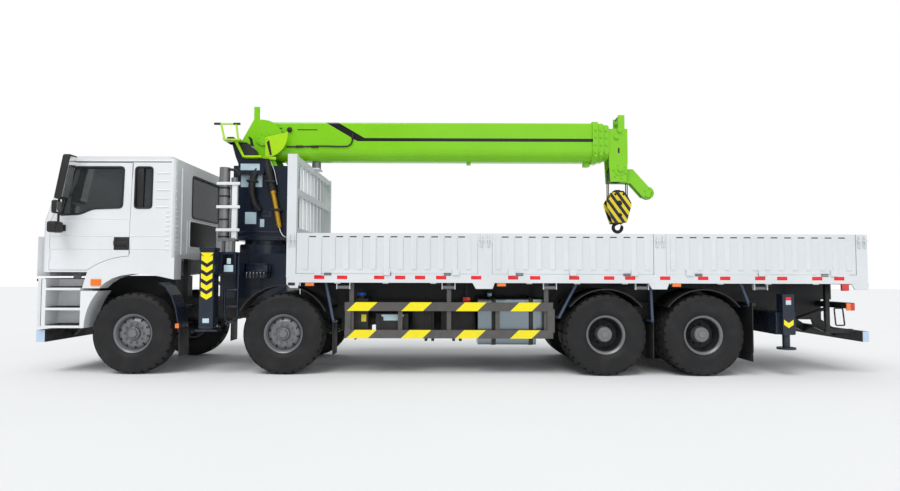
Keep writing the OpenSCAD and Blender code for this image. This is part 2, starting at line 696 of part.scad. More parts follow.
module outrigger_frames() {
  color(navy_paint) {
    difference() {
      union() {
        box([base_x0, -rail_y, frame_top_z + seat], [base_x1, rail_y, house_low_z + cut]);
        box([base_x0, -house_half, house_low_z], [house_x1, house_half, house_top_z]);
        box([house_x1 - cut, -pedestal_half, house_low_z], [base_x1, pedestal_half, house_top_z]);
        cyl_z(slew_x, 0, ring_r, house_top_z - cut, ring_top_z);
      }
      cyl_z(slew_x, 0, spigot_r + pin_gap, house_top_z, ring_top_z + cut);
      for (x = [beam_1_x, beam_2_x])
        box([x - tunnel_w / 2, -house_half - cut, beam_low_z - gap],
          [x + tunnel_w / 2, house_half + cut, beam_low_z + outrigger_h + gap]);
    }
    difference() {
      union() {
        box([rear_box_x, -rear_jack_y, rear_box_z[0]],
          [rear_box_x + rear_box_w, rear_jack_y, rail_low_z - seat]);
        pair() box([rear_box_x, rail_y + plate_t, rail_low_z - cut],
          [rear_box_x + rear_box_w, rear_jack_y, rear_box_z[1]]);
        pair() translate([rear_jack_x - rear_jack_w / 2, jack_outer_y - rear_jack_w, rear_box_z[0]])
          cube([rear_jack_w, rear_jack_w, rear_jack_top_z - rear_box_z[0]]);
      }
      pair() cyl_z(rear_jack_x, rear_jack_y, rear_leg_r + gap, rear_box_z[0] - cut,
        rear_jack_top_z - plate_t);
    }
  }
}

// Intake stack and hose tower on the base behind the cab
stack_y = -775;
stack_low_z = 1885;
stack_drop = 536; // tall tube's top below the boom pin
stack_top_z = boom_pin_z - stack_drop;
stack_rs = [75, 48];
stack_lead = [420, 275]; // tubes ahead of the slew axis
stack_xs = [slew_x - stack_lead[0], slew_x - stack_lead[1]];
tie_shares = [0.3, 0.6, 0.85];
stack_foot = [320, 180];
module intake_stack() {
  color(guard_grey) union() {
    box([stack_xs[0] - stack_rs[0], stack_y - stack_foot[1] / 2, stack_low_z - plate_t],
      [stack_xs[1] + stack_rs[1], stack_y + stack_foot[1] / 2, stack_low_z + plate_t]);
    for (x = stack_xs) box([x - plate_t, stack_y - plate_t, house_top_z + seat],
      [x + plate_t, stack_y + plate_t, stack_low_z]);
    cyl_z(stack_xs[0], stack_y, stack_rs[0], stack_low_z, stack_top_z);
    cyl_z(stack_xs[1], stack_y, stack_rs[1], stack_low_z, stack_top_z - stack_rs[0] * 2);
    for (s = tie_shares) {
      z = stack_low_z + (stack_top_z - stack_low_z - stack_rs[0] * 2) * s;
      box([stack_xs[0], stack_y - plate_t, z], [stack_xs[1], stack_y + plate_t, z + plate_t * 2]);
    }
  }
}

// Cab: a hollow shell with door openings and windows cut
cab_setback = 150;
cab_x0 = front_x + cab_setback;
cab_x1 = cab_x0 + cab_length;
cab_half = cab_w / 2;
belt_z = 2120;
roof_edge = 50;
screen_rake = 300;
roof_inset = 90;
front_round = 150;
top_round = 100;
rear_round = 60;
slab_t = 1;
sleeper_z = 1606;
function arch(rise, x1) = let (r = sleeper_z + rise - hub_z) arc([axle_1_x, hub_z], r,
  180 - asin((cab_floor_z + rise - hub_z) / r), acos((x1 - axle_1_x) / r), 8);
glass_t = 8;
glass_in = 30;
function cab_plan(x0, x1, hw, rf, rr) = concat(
  arc([x1 - rr, hw - rr], rr, 0, 90, 3), arc([x0 + rf, hw - rf], rf, 90, 180),
  arc([x0 + rf, rf - hw], rf, 180, 270), arc([x1 - rr, rr - hw], rr, 270, 360, 3));
module cab_level(z, x0, x1, hw, rf) { translate([0, 0, z]) linear_extrude(slab_t) polygon(cab_plan(x0,
  x1, hw, rf, rear_round)); }
module cab_form(inset) {
  x0 = cab_x0 + inset;
  x1 = cab_x1 - inset;
  hw = cab_half - inset;
  intersection() {
    hull() {
      cab_level(cab_floor_z, x0, x1, hw, front_round);
      cab_level(belt_z, x0, x1, hw, front_round);
      cab_level(cab_roof_z - roof_edge - inset, x0 + screen_rake, x1, hw - plate_t, top_round);
      cab_level(cab_roof_z - slab_t - inset, x0 + screen_rake + roof_inset, x1 - roof_inset,
        hw - roof_inset, top_round);
    }
    side_plate(concat([[cab_x0 - cut, cab_floor_z + inset]], arch(inset, axle_1_x),
      [[cab_x1 + cut, sleeper_z + inset], [cab_x1 + cut, cab_roof_z], [cab_x0 - cut, cab_roof_z]]),
      -cab_w, cab_w);
  }
}
door_lead = 145; // door behind the cab's front
door_len = 1089;
door_sill = 30;
door_head = 105; // door's top below the roof
door_steps = [210, 55]; // head's front and pillar's foot
door_post = [110, 20]; // pillar's foot above the belt and its hip below it
door_lean = 18; // rear edge leans by this much
window_runs = [113, 273, 581, 403]; // sill, head, step and dip behind the door's front
window_back = [99, 107]; // head and sill ahead of the door's rear
window_sills = [80, 186, 171, 94]; // front, rear, step and dip above the belt
window_head = 61;
side_light_x = [65, 300]; // quarter window behind the door
side_light_z = [180, 164];
side_light_r = 45;
screen_inset = [145, 220];
screen_z = [30, 150]; // above the belt and below the roof
rear_light_inset = 600;
rear_light_z = [100, 195];
rear_light_r = 70;
door_hinge_r = 12;
door_hinge_h = 130;
door_hinge_rises = [150, 545];
door_x0 = cab_x0 + door_lead;
door_x1 = door_x0 + door_len;
door_low_z = cab_floor_z + door_sill;
door_top_z = cab_roof_z - door_head;
door_points = concat([[door_x0, door_low_z]], arch(door_sill, door_x1),
  [[door_x1 + door_lean, door_top_z], [door_x0 + door_steps[0], door_top_z],
  [door_x0 + door_steps[1], belt_z + door_post[0]], [door_x0, belt_z - door_post[1]]]);
window_points = [
  [door_x0 + window_runs[0], belt_z + window_sills[0]],
    [door_x0 + window_runs[1], door_top_z - window_head],
  [door_x1 - window_back[0], door_top_z - window_head],
    [door_x1 - window_back[1], belt_z + window_sills[1]],
  [door_x0 + window_runs[2], belt_z + window_sills[2]], [door_x0 + window_runs[3], belt_z + window_sills[3]]
];
quarter_points = round_rect(door_x1 + side_light_x[0], belt_z + side_light_z[0],
  door_x1 + side_light_x[1], cab_roof_z - side_light_z[1], side_light_r, 3);
screen_points = [
  [screen_inset[0] - cab_half, belt_z + screen_z[0]], [cab_half - screen_inset[0], belt_z + screen_z[0]],
  [cab_half - screen_inset[1], cab_roof_z - screen_z[1]],
    [screen_inset[1] - cab_half, cab_roof_z - screen_z[1]]
];
rear_window_points = round_rect(rear_light_inset - cab_half, belt_z + rear_light_z[0],
  cab_half - rear_light_inset, cab_roof_z - rear_light_z[1], rear_light_r, 3);
arch_shares = [[1.00, 0.62], [0.80, 0.84], [0.62, 0.97], [0.45, 1.00], [0.29, 0.88], [0.17, 0.67],
  [0.07, 0.35], [0.00, 0.00]];
flare_tip = [843, 1187]; // foot of the wing's arch: behind the cab's front, and height
flare_run = 1028;
flare_rise = 200;
flare_lead = 612; // wing's front behind the cab's front
flare_in_y = 1000;
flare_out_y = 1226;
module grow(points, d) { offset(delta = d) polygon(points); }
module side_prism(d, y0, y1, points) { translate([0, y1, 0]) rotate([90, 0, 0])
    linear_extrude(y1 - y0) grow(points, d); }
module front_prism(d, x0, x1, points) { translate([x0, 0, 0]) rotate([90, 0, 90])
    linear_extrude(x1 - x0) grow(points, d); }
module wing() {
  side_plate(concat(arch(cut, axle_1_x), [[cab_x0 + flare_tip[0] + flare_run, sleeper_z + cut]],
    [for (s = arch_shares) [cab_x0 + flare_tip[0] + flare_run * s[0], flare_tip[1] + flare_rise * s[1]]],
    [[cab_x0 + flare_lead, flare_tip[1]]]), flare_in_y, flare_out_y);
}
module cab_windows(d, y_in) {
  pair() side_prism(d, y_in, cab_w, quarter_points);
  front_prism(d, cab_x0 - cab_wall, cab_x0 + screen_rake + cab_wall * 3, screen_points);
  front_prism(d, cab_x1 - cab_wall * 2, cab_x1 + cab_wall, rear_window_points);
}
module cab_shell() {
  color(white_paint) union() {
    difference() {
      cab_form(0);
      cab_form(cab_wall);
      pair() side_prism(gap, cab_half - cab_wall - gap, cab_w, door_points);
      pair() side_prism(-cab_wall / 2, cab_half - cab_wall * 2, cab_w, door_points);
      pair() door_hinges(door_hinge_r + seat, gap);
      cab_windows(0, cab_half - cab_wall * 2);
    }
    pair() wing();
    pair() difference() {
      side_plate(concat(arc([tilt_x, tilt_z], tilt_boss_r, 180, 320, 8),
        [[cab_x0 + cab_wall * 2, cab_floor_z + cut], [cab_x0 + cut, cab_floor_z + cut],
        [cab_x0 + cut, panel_z[0] - gap * 2]]), tilt_y[0], tilt_y[1]);
      cyl_y(tilt_x, tilt_z, tilt_pin_r + pin_gap, tilt_y[0] - cut, tilt_y[1] + cut);
    }
  }
}
marker = [140, 12, 90]; // amber lens on the wing, along X, Y and Z
marker_z = 1222;
marker_lead = 552; // ahead of the first axle
module cab_glass() {
  pair() color("orange") translate([axle_1_x - marker_lead, flare_out_y + seat, marker_z]) cube(marker);
  color([0.1, 0.12, 0.13]) intersection() {
    difference() {
      cab_form(glass_in);
      cab_form(glass_in + glass_t);
    }
    cab_windows(-seat, cab_half - cab_wall * 2);
  }
}
module door_left() { color(white_paint) door(); }
module door_right() { color(white_paint) on_left() door(); }
module door_hinges(r, over) {
  for (rise = door_hinge_rises)
    cyl_z(door_x0, -cab_half, r, door_low_z + rise - over, door_low_z + rise + door_hinge_h + over);
}
module door() {
  union() {
    difference() {
      intersection() {
        difference() {
          cab_form(0);
          cab_form(cab_wall);
        }
        side_prism(0, -cab_w, -cab_half + cab_wall, door_points);
      }
      side_prism(0, -cab_w, -cab_half + cab_wall * 3, window_points);
    }
    door_hinges(door_hinge_r, 0);
  }
}
module door_glass() {
  intersection() {
    difference() {
      cab_form(glass_in);
      cab_form(glass_in + glass_t);
    }
    side_prism(-seat, -cab_w, -cab_half + cab_wall * 2, window_points);
  }
}
module door_glass_left() { color([0.1, 0.12, 0.13]) door_glass(); }
module door_glass_right() { color([0.1, 0.12, 0.13]) on_left() door_glass(); }

// Front panel: the bowed lid below the windscreen
panel_bow = 68;
panel_half_w = 1120;
panel_z = [1352, 1905];
module front_panel() {
  color(white_paint) plan_plate(concat(bow(front_x, panel_bow, panel_half_w),
    [[cab_x0 - seat, panel_half_w - front_round],
      [cab_x0 - seat, front_round - panel_half_w]]), panel_z[0], panel_z[1]);
}

// Cab interior: dash, steering wheel, seats and bunk
dash_z = [1500, 2060];
dash_depth = 260;
wheel_ring_r = 225;
grip_r = 17;
driver_y = 580;
wheel_place = [460, 2080];
wheel_tilt = 28;
seat_x = 800;
seat_size = [480, 500, 130];
seat_z = 1850;
seat_back = [130, 700];
bunk_z = [1690, 2000];
module cab_seat(y) {
  x = cab_x0 + seat_x;
  union() {
    box([x, y - seat_size[1] / 2, seat_z], [x + seat_size[0], y + seat_size[1] / 2, seat_z + seat_size[2]]);
    box([x + seat_size[0] - seat_back[0], y - seat_size[1] / 2, seat_z],
      [x + seat_size[0], y + seat_size[1] / 2, seat_z + seat_back[1]]);
    difference() {
      box([x + seat_back[0], y - seat_size[1] / 3, sleeper_z],
        [x + seat_size[0] - seat_back[0], y + seat_size[1] / 3, seat_z + cut]);
      cyl_y(axle_1_x, hub_z, sleeper_z + cab_wall + seat - hub_z, y - seat_size[1], y + seat_size[1]);
    }
  }
}
module cab_interior() {
  dash_x = cab_x0 + cab_wall + seat;
  dash_half = cab_half - cab_wall - front_round - seat;
  color(rubber_black) {
    union() {
      box([dash_x, -dash_half, dash_z[0]], [dash_x + dash_depth, dash_half, dash_z[1]]);
      rod([dash_x + dash_depth - plate_t, -driver_y, dash_z[1] - cab_wall * 2],
        [cab_x0 + wheel_place[0], -driver_y, wheel_place[1]], grip_r);
      translate([cab_x0 + wheel_place[0], -driver_y, wheel_place[1]]) rotate([0, wheel_tilt, 0]) {
        rotate_extrude() translate([wheel_ring_r, 0]) circle(r = grip_r, $fn = 24);
        cyl_z(0, 0, cab_wall, -grip_r, grip_r);
        translate([-grip_r, -wheel_ring_r, -grip_r / 2]) cube([grip_r * 2,
          wheel_ring_r * 2, grip_r]);
      }
    }
    for (side = [-1, 1]) cab_seat(side * driver_y);
    box([cab_x1 - cab_wall * 8, cab_wall * 2 - cab_half, bunk_z[0]],
      [cab_x1 - cab_wall - seat, cab_half - cab_wall * 2, bunk_z[1]]);
  }
}

// Mirrors on the doors
mirror_y = [1300, 1490];
mirror_x = [335, 445]; // behind the cab's front at the foot and the head
mirror_depth = 105;
mirror_z = [2400, 3005];
low_mirror = [[255, 1930], [355, 2110]];
arm_r = 15;
module door_mirror() {
  x0 = cab_x0;
  union() {
    side_plate([
      [x0 + mirror_x[0], mirror_z[0]], [x0 + mirror_x[0] + mirror_depth, mirror_z[0]],
      [x0 + mirror_x[1] + mirror_depth, mirror_z[1]], [x0 + mirror_x[1], mirror_z[1]]
    ], -mirror_y[1], -mirror_y[0]);
    box([x0 + low_mirror[0][0], -mirror_y[1], low_mirror[0][1]],
      [x0 + low_mirror[1][0], -mirror_y[0], low_mirror[1][1]]);
    for (z = [mirror_z[0] + mirror_depth, (low_mirror[0][1] + low_mirror[1][1]) / 2])
      rod([x0 + mirror_x[0] - arm_r, -mirror_y[0] - arm_r * 2, z],
        [x0 + mirror_x[0] - arm_r, -cab_half - seat + plate_t * max(0,
          (z - arm_r - belt_z) / (cab_roof_z - roof_edge - belt_z)), z], arm_r);
    rod([x0 + mirror_x[0] - arm_r, -mirror_y[0] - arm_r * 2, low_mirror[0][1] + arm_r],
      [x0 + mirror_x[0] + arm_r, -mirror_y[0] - arm_r * 2,
        mirror_z[0] + mirror_depth * 2], arm_r);
  }
}
module mirror_left() { color(rubber_black) door_mirror(); }
module mirror_right() { color(rubber_black) on_left() door_mirror(); }

// Steering knuckles: fork, kingpin and spindle
ear_h = 40;
ear_gap = 6;
knuckle_back = [72, 112]; // outboard of the kingpin
hub_pin_r = 45;
hub_pin_end = 268;
ear_share = 0.8; // fork's web as a share of the eye
module knuckle(x) {
  ear_z = eye_half_h + ear_gap;
  color(dark_steel) union() {
    cyl_z(x, king_y, kingpin_r, hub_z - ear_z - ear_h, hub_z + ear_z + ear_h);
    for (s = [-1, 1]) {
      cyl_z(x, king_y, eye_r, hub_z + s * (ear_z + ear_h / 2) - ear_h / 2,
        hub_z + s * (ear_z + ear_h / 2) + ear_h / 2);
      box([x - eye_r * ear_share, king_y, hub_z + s * (ear_z + ear_h / 2) - ear_h / 2],
        [x + eye_r * ear_share, king_y + knuckle_back[1], hub_z + s * (ear_z + ear_h / 2) + ear_h / 2]);
    }
    box([x - eye_r, king_y + knuckle_back[0], hub_z - ear_z - ear_h],
      [x + eye_r, king_y + knuckle_back[1], hub_z + ear_z + ear_h]);
    cyl_y(x, hub_z, hub_pin_r, king_y + knuckle_back[1] - cut, king_y + hub_pin_end);
  }
}
module knuckle_1_left() { on_left() knuckle(axle_1_x); }
module knuckle_1_right() { knuckle(axle_1_x); }
module knuckle_2_left() { on_left() knuckle(axle_2_x); }
module knuckle_2_right() { knuckle(axle_2_x); }

// Wheels: tyres with rims, discs and hubs
rim_r = 258;
rim_t = 12;
disc_t = 16;
hand_holes = 10;
hand_hole_r = 24;
hub_r = 110;
hub_cap_r = 78;
drum_r = 132;
hole_ring_share = 0.76; // hand holes' ring on the disc
rim_half_share = 0.36; // half the rim's width on the tyre's
front_disc_share = 0.45; // front disc out from the tyre's middle
drum_end_share = 0.25;
hub_end_share = 0.6;
tyre_shares = [[0.00, 0.70], [0.08, 0.84], [0.30, 0.97], [0.50, 1.00], [0.72, 0.97], [0.88, 0.90],
  [0.96, 0.84], [1.00, 0.76]];
module tyre(x, y) {
  h = hub_z - rim_r - seat;
  out = [for (s = tyre_shares) [rim_r + seat + h * s[0], s[1] * tyre_w / 2]];
  back = [for (i = [len(tyre_shares) - 1 : -1 : 0]) [rim_r + seat + h * tyre_shares[i][0],
    -tyre_shares[i][1] * tyre_w / 2]];
  color(rubber_black) translate([x, y, hub_z]) rotate([90, 0, 0])
    rotate_extrude($fn = 96) polygon(concat(out, back));
}
module disc(x, y, t) {
  difference() {
    cyl_y(x, hub_z, rim_r - rim_t / 2, y, y + t);
    for (i = [0 : hand_holes - 1])
      translate([x, y, hub_z]) rotate([0, 360 * i / hand_holes, 0])
        cyl_y(rim_r * hole_ring_share, 0, hand_hole_r, -cut, t + cut);
  }
}
rim_half = tyre_w * rim_half_share;
module front_wheel(x) {
  tyre(x, steer_track);
  hub_y0 = king_y + knuckle_back[1] + gap;
  disc_y = steer_track + rim_half * front_disc_share;
  color(alloy) difference() {
    union() {
      tube_y(x, hub_z, rim_r, rim_r - rim_t, steer_track - rim_half, steer_track + rim_half);
      disc(x, disc_y, disc_t);
      cyl_y(x, hub_z, hub_r, hub_y0, disc_y + disc_t * 2);
      cyl_y(x, hub_z, hub_cap_r, disc_y, steer_track + rim_half + disc_t);
    }
    cyl_y(x, hub_z, hub_pin_r + pin_gap, hub_y0 - cut, king_y + hub_pin_end + cut);
  }
}
module twin_wheel(x) {
  inner_y = twin_track - twin_gap / 2;
  outer_y = twin_track + twin_gap / 2;
  tyre(x, inner_y);
  tyre(x, outer_y);
  hub_y0 = housing_end_y + gap;
  color(alloy) difference() {
    union() {
      tube_y(x, hub_z, rim_r, rim_r - rim_t, inner_y - rim_half, outer_y + rim_half);
      disc(x, twin_track - disc_t / 2, disc_t);
      cyl_y(x, hub_z, drum_r, hub_y0, twin_track + twin_gap * drum_end_share);
      cyl_y(x, hub_z, hub_r, hub_y0, outer_y + rim_half * hub_end_share);
    }
    cyl_y(x, hub_z, spindle_r + pin_gap, hub_y0 - cut, spindle_end_y + cut);
  }
}
module wheel_1_left() { on_left() front_wheel(axle_1_x); }
module wheel_1_right() { front_wheel(axle_1_x); }
module wheel_2_left() { on_left() front_wheel(axle_2_x); }
module wheel_2_right() { front_wheel(axle_2_x); }
module wheel_3_left() { on_left() twin_wheel(axle_3_x); }
module wheel_3_right() { twin_wheel(axle_3_x); }
module wheel_4_left() { on_left() twin_wheel(axle_4_x); }
module wheel_4_right() { twin_wheel(axle_4_x); }

// Drop sides and tailgate: ribbed panels on bottom hinges
gate_t = 38;
gate_in = 8; // ribs stand inside the bed's width by this much
gate_rib = [70, 8];
gate_pitch = 187;
gate_rail_h = 60;
hinge_r = 9;
hinge_out = 9.4; // hinge axis outside the bed's side
hinge_drop = 5;
hinge_z = floor_z - hinge_drop;
hinge_shares = [0.12, 0.5, 0.88];
hinge_w = 90;
module gate(x0, x1) {
  // panel in the plane of the side at +Y; outer face at bed_half - gate_in
  y1 = bed_half - gate_in;
  ribs = floor((x1 - x0 - gate_rib[0]) / gate_pitch);
  lead = (x1 - x0 - ribs * gate_pitch) / 2;
  color(white_paint) union() {
    box([x0, y1 - gate_t, gate_low_z], [x1, y1, gate_top_z]);
    for (i = [0 : ribs])
      box([x0 + lead + i * gate_pitch - gate_rib[0] / 2, y1 - cut, gate_low_z + gate_rail_h],
        [x0 + lead + i * gate_pitch + gate_rib[0] / 2, y1 + gate_rib[1], gate_top_z - gate_rail_h]);
    for (s = hinge_shares) {
      xm = x0 + (x1 - x0) * s;
      cyl_x(bed_half + hinge_out, hinge_z, hinge_r, xm - hinge_w / 2, xm + hinge_w / 2);
      box([xm - hinge_w / 2, bed_half + hinge_out - hinge_r, hinge_z],
        [xm + hinge_w / 2, bed_half + hinge_out + hinge_r, gate_low_z + gate_rail_h]);
      box([xm - hinge_w / 2, y1 - cut, gate_low_z + hinge_r],
        [xm + hinge_w / 2, bed_half + hinge_out + hinge_r, gate_low_z + gate_rail_h]);
    }
  }
}
gate_1_x = [bed_x0 + hb_depth + gap, post_xs[0][0] - gap];
gate_2_x = [post_xs[0][0] + post_1_w + gap, post_xs[1][0] - gap];
gate_3_x = [post_xs[1][0] + post_2_w + gap, post_xs[2][0] - gap];
module gate_1_right() { gate(gate_1_x[0], gate_1_x[1]); }
module gate_2_right() { gate(gate_2_x[0], gate_2_x[1]); }
module gate_3_right() { gate(gate_3_x[0], gate_3_x[1]); }
module gate_1_left() { on_left() gate(gate_1_x[0], gate_1_x[1]); }
module gate_2_left() { on_left() gate(gate_2_x[0], gate_2_x[1]); }
module gate_3_left() { on_left() gate(gate_3_x[0], gate_3_x[1]); }
module tailgate() {
  half = bed_half - post_depth - gap;
  translate([bed_x1 - bed_half, 0, 0]) rotate([0, 0, -90]) gate(-half, half);
}

// Front outriggers: a beam with the jack's outer tube at its end
outrigger_w = 150;
beam_inner = 900; // beam's inner end on the far side of the centre plane
tube_low_z = 640;
tube_top_z = 1750;
tube_in_y = 1060;
tube_wall = 22;
leg_top_z = 1705;
foot_z = [598, 625];
foot_half = [150, 92];
module outrigger(x) {
  color(navy_paint) difference() {
    union() {
      box([x - outrigger_w / 2, -beam_inner, beam_low_z],
        [x + outrigger_w / 2, tube_in_y + cut, beam_low_z + outrigger_h]);
      box([x - jack_w / 2, tube_in_y, tube_low_z], [x + jack_w / 2, jack_outer_y, tube_top_z]);
      box([x - outrigger_w / 2, -beam_inner, beam_low_z - gap + pin_gap],
        [x + outrigger_w / 2, -beam_inner + jack_w, beam_low_z + cut]);
    }
    box([x - jack_w / 2 + tube_wall, tube_in_y + tube_wall, tube_low_z - cut],
      [x + jack_w / 2 - tube_wall, jack_outer_y - tube_wall, tube_top_z - tube_wall]);
  }
}
module front_jack(x) {
  inset = tube_wall + gap;
  mid_y = (tube_in_y + jack_outer_y) / 2;
  color(navy_paint) union() {
    box([x - jack_w / 2 + inset, tube_in_y + inset, foot_z[1] - cut],
      [x + jack_w / 2 - inset, jack_outer_y - inset, leg_top_z]);
    box([x - jack_w / 2 + tube_wall + pin_gap, tube_in_y + tube_wall + pin_gap, leg_top_z - tube_wall * 4],
      [x + jack_w / 2 - tube_wall - pin_gap, jack_outer_y - tube_wall - pin_gap, leg_top_z]);
    box([x - foot_half[0], mid_y - foot_half[1], foot_z[0]],
      [x + foot_half[0], mid_y + foot_half[1], foot_z[1]]);
  }
}
module outrigger_left() { on_left() outrigger(beam_1_x); }
module outrigger_right() { outrigger(beam_2_x); }
module jack_front_left() { on_left() front_jack(beam_1_x); }
module jack_front_right() { front_jack(beam_2_x); }

// Rear jacks: a round leg with a foot
rear_foot_r = 125;
rear_foot_z = [369, 395];
module rear_jack() {
  color(navy_paint) union() {
    cyl_z(rear_jack_x, rear_jack_y, rear_leg_r, rear_foot_z[1] - cut,
      rear_jack_top_z - plate_t - gap * 2);
    cyl_z(rear_jack_x, rear_jack_y, rear_leg_r + gap - pin_gap,
      rear_jack_top_z - plate_t * 4, rear_jack_top_z - plate_t - gap * 2);
    cyl_z(rear_jack_x, rear_jack_y, rear_foot_r, rear_foot_z[0], rear_foot_z[1]);
  }
}
module jack_rear_left() { on_left() rear_jack(); }
module jack_rear_right() { rear_jack(); }

// Column: slewing body with side plates, cylinder lugs and boom cheeks
column_gap = 7;
column_low_z = ring_top_z + column_gap;
column_drop = 430; // body's top below the boom pin
column_top_z = boom_pin_z - column_drop;
column_base_z = 1905;
column_base_r = 345;
column_back = 406; // body ahead of the slew axis
column_front = 319; // body behind the slew axis
column_half = 350;
side_plate_x = [-441, 441];
side_plate_t = 80;
pin_lead = 16; // boom pin ahead of the slew axis
boom_pin_x = slew_x - pin_lead;
boom_pin_r = 60;
cheek_y = [245, 285];
cheek_r = 300;
lift_foot = [405, 45]; // behind the slew axis, above the flange
lift_head = [430, 440]; // behind the slew axis, below the boom pin
lift_a = [slew_x + lift_foot[0], column_base_z + lift_foot[1]];
lift_b = [slew_x + lift_head[0], boom_pin_z - lift_head[1]];
lift_pin_r = 35;
lug_r = 80;
lug_y = [105, 145];
prong_x = [163, 86]; // rope guide on the left cheek, ahead of the slew axis
prong_rise = [217, 502]; // its foot and tip above the boom pin
cheek_x = [340, 160, 240]; // heel and peak ahead of the slew axis, front behind it
cheek_rise = [-21, 310]; // heel and peak from the boom pin's height
cheek_sink = 50;
cheek_points = concat(
  [[slew_x - cheek_x[0], column_top_z - cheek_sink], [slew_x - cheek_x[0], boom_pin_z + cheek_rise[0]],
  [slew_x - cheek_x[1], boom_pin_z + cheek_rise[1]]],
  arc([boom_pin_x, boom_pin_z], cheek_r, 88, -60, 10), [[slew_x + cheek_x[2], column_top_z - cheek_sink]]);
module column() {
  color(navy_paint) union() {
    cyl_z(slew_x, 0, column_base_r, column_low_z, column_base_z);
    cyl_z(slew_x, 0, spigot_r, house_top_z + pin_gap, column_base_z);
    box([slew_x - column_back, -column_half, column_base_z - cut],
      [slew_x + column_front, column_half, column_top_z]);
    pair() {
      box([slew_x + side_plate_x[0], column_half - side_plate_t, column_base_z],
        [slew_x + side_plate_x[1], column_half, column_top_z]);
      side_plate(cheek_points, cheek_y[0], cheek_y[1]);
      side_plate(concat([[slew_x + column_front - cut, lift_a[1] - lug_r]], arc(lift_a, lug_r, -90, 90, 8),
        [[slew_x + column_front - cut, lift_a[1] + lug_r]]), lug_y[0], lug_y[1]);
    }
    box([slew_x - prong_x[0], -cheek_y[1], boom_pin_z + prong_rise[0]],
      [slew_x - prong_x[1], -cheek_y[0], boom_pin_z + prong_rise[1]]);
    cyl_y(boom_pin_x, boom_pin_z, boom_pin_r, -cheek_y[1] - plate_t, cheek_y[1] + plate_t);
    cyl_y(lift_a[0], lift_a[1], lift_pin_r, -lug_y[1] - plate_t, lug_y[1] + plate_t);
  }
}

// Operator station: saddle frame with seat, console, cabinet and handrail on the column's left
saddle_rises = [[-491, -110], [-363, -110], [-239, -340], [44, -340], [44, -310], [-217, -310],
  [-325, -110], [-236, -110], [-236, -87], [-491, -87]]; // from the slew axis and the boom pin
console_rises = [[-335, -116], [-175, -116], [-60, -225], [-50, -315], [-232, -315]];
cabinet_rises = [[-436, -105], [-377, -315], [-330, -430], [-370, -583], [60, -583], [83, -335],
  [-230, -335], [-355, -105]];
saddle_y = [-560, -350];
cabinet_y = -470;
station_arm = [-200, 0];
pad_y = -700; // seat's outer edge
pad_t = 45;
pad_r = 50;
tube_r = 15;
rail_rises = [[-474, -100], [-530, 140], [-306, 140], [-271, -100]];
rail_tip = -636;
module at_pin(points, y0, y1) {
  side_plate([for (p = points) [slew_x + p[0], boom_pin_z + p[1]]], y0, y1);
}
module operator_station() {
  z0 = boom_pin_z + saddle_rises[0][1];
  z1 = boom_pin_z + saddle_rises[9][1];
  x0 = slew_x + saddle_rises[0][0];
  x1 = slew_x + saddle_rises[7][0];
  y = pad_y + tube_r * 2;
  rail = [for (p = rail_rises) [slew_x + p[0], y, boom_pin_z + p[1]]];
  color(green_paint) union() {
    at_pin(saddle_rises, saddle_y[0], saddle_y[1]);
    at_pin(console_rises, saddle_y[0] + plate_t, saddle_y[1] - plate_t);
    at_pin(cabinet_rises, cabinet_y, -column_half - seat);
    box([slew_x + station_arm[0], saddle_y[1] - cut, boom_pin_z + saddle_rises[3][1]],
      [slew_x + station_arm[1], -cheek_y[1] - seat, boom_pin_z + saddle_rises[4][1]]);
    box([x0, pad_y, z0], [x1, saddle_y[1], z1]);
    plan_plate(round_rect(x0 + plate_t, pad_y + tube_r * 4, x1, saddle_y[1], pad_r), z1 - cut, z1 + pad_t);
    for (i = [1, 3]) rod(rail[i - 1], rail[i], tube_r);
    cyl_x(y, rail[1][2], tube_r + pin_gap, slew_x + rail_tip, rail[2][0] + tube_r);
  }
}

// Boom: four nested sections with collars, the head and its nose
tail_len = 200;
boom_wall = 12;
section_gap = 13; // clearance between nested sections
collar_len = 84;
collar_grow = 22;
collar_gap = 6;
section_lead = 60; // each inner section starts this much later
inner_start = 210; // first inner section behind the foot pin
belly_r_share = 0.42; // belly radius as a share of the section's width
boom_end_x = boom_pin_x + boom_reach;
function boom_outline(inset) = let (hw = boom_w / 2 - inset, lo = boom_low_z + inset,
  hi = boom_low_z + boom_h - inset,
  rb = max(boom_w * belly_r_share - inset, section_gap), rt = section_gap * 2)
  concat(arc([hw - rt, hi - rt], rt, 0, 90, 3), arc([rt - hw, hi - rt], rt, 90, 180, 3),
    arc([rb - hw, lo + rb], rb, 180, 270, 8), arc([hw - rb, lo + rb], rb, 270, 360, 8));
module boom_tube(inset, x0, x1, wall) {
  difference() {
    section_x(boom_outline(inset), x0, x1);
    section_x(boom_outline(inset + wall), x0 - cut, x1 + cut);
  }
}
step_in = boom_wall + section_gap;
pad_half = 26;
pad_len = 160;
module boom_section(i) {
  x0 = boom_pin_x + inner_start + section_lead * i;
  x1 = boom_end_x + (collar_len + collar_gap) * i;
  low = boom_low_z + step_in * i;
  high = boom_low_z + boom_h - step_in * i;
  boom_tube(step_in * i, x0, x1 + cut, boom_wall);
  box([x0, -pad_half, low - section_gap + pin_gap], [x0 + pad_len, pad_half, low + cut]);
  box([x0, -pad_half, high - cut], [x0 + pad_len, pad_half, high + section_gap - pin_gap]);
  boom_tube(step_in * i - collar_grow, x1, x1 + collar_len, boom_wall + collar_grow);
}
boss_r = 110;
head_lug_r = 72;
